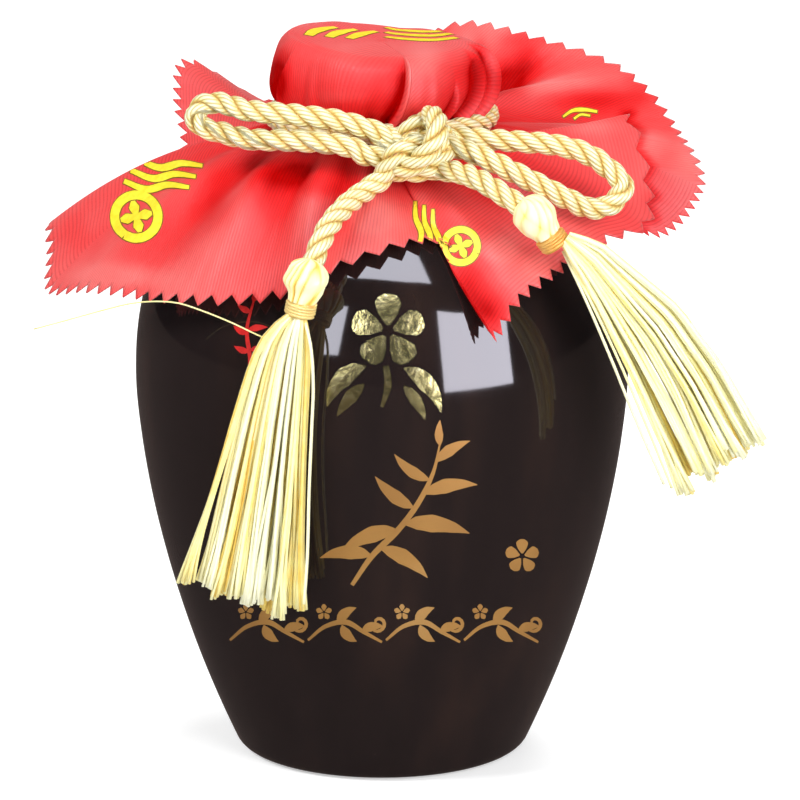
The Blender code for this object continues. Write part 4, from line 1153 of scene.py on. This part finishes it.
def tassel_frame(head, azimuth, lean_out, lean_along):
    """A matrix from a tassel's own frame, whose Z runs up its middle, to the model's."""
    out = Vector((*around((0, 0), 1.0, math.radians(azimuth)), 0.0))
    along = Vector((-out.y, out.x, 0.0))
    down = (out * lean_out + along * lean_along - Vector((0, 0, 1))).normalized()
    across = (along - down * along.dot(down)).normalized()
    return Matrix.Translation(head) @ Matrix((across, (-down).cross(across), -down)).transposed().to_4x4()


def head_piece(side, frame_at, ribs, twist, depth, shade):
    """A round head of folded threads that run from its crown to the band, with painted shade in the grooves
    between the folds.
    """
    profile = through(HEAD_PROFILE, 0.0003)
    profile = profile[np.linspace(0, len(profile) - 1, HEAD_ROWS).astype(int)]
    verts, tones, uv = [], [], []
    for i, (radius, height) in enumerate(profile):
        share = i / (HEAD_ROWS - 1)
        hold = min(1.0, radius / 0.0042) ** 1.5
        for k in range(HEAD_STEPS):
            a = math.tau * k / HEAD_STEPS
            warped = a + 0.20 * math.sin(2 * a + ribs) + 0.13 * math.sin(3 * a + 0.5 * ribs) + twist * share
            fold = abs(math.sin(0.5 * ribs * warped)) ** 0.6
            cross = abs(math.sin(2.5 * (a - 1.6 * twist * share) + 1.0 + 4.0 * share)) ** 0.5
            lump = math.sin(3 * a + 9 * share + ribs) * math.sin(2 * a - 7 * share)
            r = radius + depth * (0.9 * (fold - 0.72) + 0.45 * (cross - 0.8) + 0.45 * lump) * hold
            verts.append(frame_at @ Vector((*around((0, 0), r, a), height)))
            # Painted shade: darker in the grooves between the folds.
            tones.append(max(0.12, 0.84 - shade * ((1 - fold) ** 0.8 + 0.6 * (1 - cross))))
            uv.append(((k / HEAD_STEPS + twist * i / HEAD_ROWS / math.tau) * 46, i * 0.10))
    faces = walls(0, HEAD_ROWS, HEAD_STEPS, inward=True)
    faces += [tuple(range(HEAD_STEPS)), tuple(range(len(verts) - 1, len(verts) - HEAD_STEPS - 1, -1))]
    return piece(f"tassel_{side}_head_yarn", verts, faces, TASSEL_YARN, "tassel_" + side, "pale_gold_yarn",
                 f"tassel_{side}_head", uv, tone=tones)


def band_piece(side, frame_at, tone):
    """A wound band: the wire's turns over a core."""
    bundle = Bundle()
    coil = [frame_at @ Vector((*around((0, 0), BAND_RADIUS + 0.00005, math.tau * BAND_TURNS * share),
                               -0.0059 - 0.0029 * share)) for share in np.linspace(0.0, 1.0, BAND_TURNS * 26)]
    bundle.tube(coil, BAND_WIRE, 8, tone)
    core = [frame_at @ Vector((0, 0, z)) for z in np.linspace(-0.0056, -0.0092, 5)]
    bundle.tube(core, BAND_RADIUS, 24, tone - 0.3)
    return bundle.make(f"tassel_{side}_band_wire", WIRE, "tassel_" + side, "gold_wire", f"tassel_{side}_band")


def edges_at(table, down):
    """The pixels of a skirt's edges at a share down, carried on past the last row."""
    row = [float(np.interp(down, table[:, 0], table[:, i])) for i in range(1, 5)]
    if down > 1.0:
        more = (down - 1.0) / (table[-1, 0] - table[-2, 0])
        row = [row[i] + more * (table[-1, i + 1] - table[-2, i + 1]) for i in range(4)]
    return row


def off_jar(place):
    """Moves a place of a thread clear of the jar's side, there and up to 40 mm above it."""
    out = math.hypot(place.x, place.y)
    above = [min(place.z + rise, SHOULDER_SEEN) for rise in (0.0, 0.01, 0.02, 0.03, 0.04)]
    least = max(map(jar_radius, above)) + THREAD_CLEARANCE
    if out < least and place.z < HEAD_LEVEL:
        place.x *= least / out
        place.y *= least / out
    return place


def skirt_piece(side, edges, depth, strands, clumps=17, threads=270):
    """Loose threads in clumps between a skirt's edges. Depth is the top's Y and its change down the skirt."""
    table = np.array(edges, float)
    bundle = Bundle()
    sizes = 0.5 + 1.1 * RNG.random(clumps)
    sizes /= sizes.sum()
    middles = np.cumsum(sizes) - sizes + sizes / 2
    for clump in range(clumps):
        spread = (0.44, 0.26, 0.36)[clump % 3] * sizes[clump]
        layer = (0.40 if clump % 2 else -0.40) + RNG.normal(0, 0.22)
        drift, swing, bend = RNG.normal(0, 0.012), RNG.random() * math.tau, RNG.normal(0, 0.0006)
        cut, shade = RNG.normal(0, 0.014), RNG.normal(0, 0.17)
        each = max(6, int(round(threads * sizes[clump])))
        for number in range(each):
            near, deep = around((0, 0), math.sqrt((number + 0.5) / each), number * GOLDEN_ANGLE + clump)
            reach = 1.0 + cut + RNG.normal(0, 0.006) + 0.012 * (1 - (2 * middles[clump] - 1) ** 2)
            wave, phase, stray = RNG.normal(0, 0.00040), RNG.random() * math.tau, RNG.normal(0, 0.00060)
            path = []
            for down in np.linspace(0.0, reach, THREAD_POINTS):
                share = middles[clump] + spread * near * float(np.interp(down, *FAN)) + drift * down * down
                share += 0.016 * down * math.sin(swing + 5.0 * down)
                pinch = 1 - 0.24 * (1 - min(down / 0.10, 1.0)) ** 2
                share = min(max(0.5 + (share - 0.5) * pinch, 0.0), 1.0)
                left, top, right, low = edges_at(table, down)
                y = depth[0] + depth[1] * down + SKIRT_DEPTH * (1 + down) * (layer + 0.45 * deep)
                place = seen((left + (right - left) * share, top + (low - top) * share, y))[0]
                sway = wave * math.sin(phase + 7 * down) + bend * down * math.sin(2.5 * down)
                sway = down * (sway + stray * down**3)
                place += Vector((sway, wave * down * math.cos(phase + 6 * down), 0.0))
                path.append(off_jar(place))
            radius = 0.00034 + 0.00018 * RNG.random()
            # Each thread's tone varies at random; threads of the back layer get painted shade, darker and more
            # amber.
            tone = 0.72 + shade + 0.15 * RNG.normal() - 0.95 * max(layer, 0.0)
            bundle.tube(through(path, 0.0045), radius, THREAD_SIDES, float(np.clip(tone, 0.20, 1.0)))
    for radius, tone, *route in strands:
        bundle.tube(through(seen(*route), 0.002), radius, THREAD_SIDES, tone)
    return bundle.make(f"tassel_{side}_skirt_threads", TASSEL_YARN, "tassel_" + side, "pale_gold_yarn",
                       f"tassel_{side}_skirt")


LEFT_FRAME = tassel_frame(LEFT_HEAD, 254.4, 0.0, -0.20)
RIGHT_FRAME = tassel_frame(RIGHT_HEAD, 302.6, 0.29, 0.654)
left_tassel, right_tassel = zip(
    (head_piece("left", LEFT_FRAME, 11, 0.8, 0.0010, 0.75),
     head_piece("right", RIGHT_FRAME, 9, 1.6, 0.0006, 0.50)),
    (band_piece("left", LEFT_FRAME, 0.98), band_piece("right", RIGHT_FRAME, 0.45)),
    (skirt_piece("left", LEFT_EDGES, (-0.0635, 0.0040), LEFT_STRANDS),
     skirt_piece("right", RIGHT_EDGES, (-0.0570, 0.0070), RIGHT_STRANDS)),
)

# Stopper

for node, finish in (("stopper_plug", wood()), ("stopper_sleeve", silicone())):
    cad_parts[node].data.materials.clear()
    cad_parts[node].data.materials.append(finish)

# Stage: pale floor, soft light, and a dim room with bright windows that only the glaze's gloss shows

ROOM_RADIUS = 2.6
TABLE_HEIGHT = 0.0004
WINDOW_SIDES = 8
WINDOW_REACH = 1.1
WHITE = (1.0, 1.0, 1.0)


def staged(name, verts, faces, finish, height=0.0):
    mesh = bpy.data.meshes.new(name)
    mesh.from_pydata(verts, [], faces)
    mesh.materials.append(finish)
    made = placed(name, mesh, (0, 0, height))
    return made


def only_mirrored(name, verts, faces, colour, strength, height=0.0):
    """A glowing surface that only gloss shows."""
    g = Graph(name + "_glow")
    g.feed(g.nodes["Material Output"].inputs[0], g.node("Emission", {"Color": colour, "Strength": strength}))
    g.nodes.remove(g.nodes["Principled BSDF"])
    made = staged(name, verts, faces, g.owner, height)
    made.visible_camera = made.visible_diffuse = made.visible_shadow = made.visible_transmission = False


def window(name, corners, strength, colour):
    """A glowing panel placed where the glaze mirrors it at these corners."""
    verts = []
    for u in np.linspace(0.0, 1.0, WINDOW_SIDES + 1):
        for v in np.linspace(0.0, 1.0, WINDOW_SIDES + 1):
            shares = ((1 - u) * (1 - v), u * (1 - v), u * v, (1 - u) * v)
            px, py = (sum(share * corner[i] for share, corner in zip(shares, corners)) for i in range(2))
            place, normal = jar_hit(px, py)
            way = ray(px, py)
            verts.append(place + (way - normal * (2 * way.dot(normal))) * WINDOW_REACH)
    row = WINDOW_SIDES + 1
    faces = [(a, a + row, a + row + 1, a + 1) for a in range(WINDOW_SIDES * row) if a % row < WINDOW_SIDES]
    only_mirrored(name, verts, faces, colour, strength)


def light(name, place, size, energy, aim=(0, 0, 0.12)):
    data = bpy.data.lights.new(name, "AREA")
    data.size = size
    data.energy = energy
    placed(name, data, place, aim).visible_glossy = False


g = Graph("floor_paper")
floor = g.done(Base_Color=(0.86, 0.86, 0.86), Roughness=0.9, Specular_IOR_Level=0.0,
               Normal=g.bump(g.node("TexNoise", {"Scale": 60.0}, "Fac"), 0.02, 0.001),
               Emission_Color=WHITE, Emission_Strength=g.math("MULTIPLY", g.mirrored_or_seen(), 0.45))
staged("floor", [(-6, -6, 0), (6, -6, 0), (6, 6, 0), (-6, 6, 0)], [(0, 1, 2, 3)], floor, -0.0002)

room = [(math.sin(a) * ROOM_RADIUS, math.cos(a) * ROOM_RADIUS) for a in np.radians(np.linspace(180, 0, 17))]
only_mirrored("dark_room", *turned(room, 32), (0.85, 0.85, 1.0), 0.02)
rings = [(*around((0, 0), radius, math.tau * k / 48), 0.0) for radius in (2.75, 0.030) for k in range(48)]
only_mirrored("dark_table", rings, walls(0, 2, 48), (1.0, 0.78, 0.72), 0.100, TABLE_HEIGHT)
window("window_top", ((336, 250), (414, 246), (431, 284), (330, 276)), 11.0, (0.88, 0.88, 1.0))
window("window_left", ((318, 304), (348, 307), (338, 356), (314, 352)), 11.0, (0.88, 0.88, 1.0))
window("window_right", ((437, 311), (506, 318), (516, 406), (446, 409)), 12.5, (0.90, 0.88, 1.0))

scene.world = bpy.data.worlds.new("studio")
g = Graph(scene.world)
g.nodes.remove(g.nodes["Background"])
full, dim = (g.node("Background", {"Color": WHITE, "Strength": strength}) for strength in (1.0, 0.29))
mixed = g.node("MixShader", {0: g.mirrored_or_seen(), 1: dim, 2: full})
g.feed(g.nodes["World Output"].inputs["Surface"], mixed)

light("key", (-1.30, -0.75, 1.30), 0.45, 20.0, (0, 0, 0.11))
light("front", (0.75, -1.3, 0.75), 0.9, 20.0)
light("top", (0.35, 0.55, 1.6), 0.7, 12.0)

scene.view_settings.view_transform = "Standard"
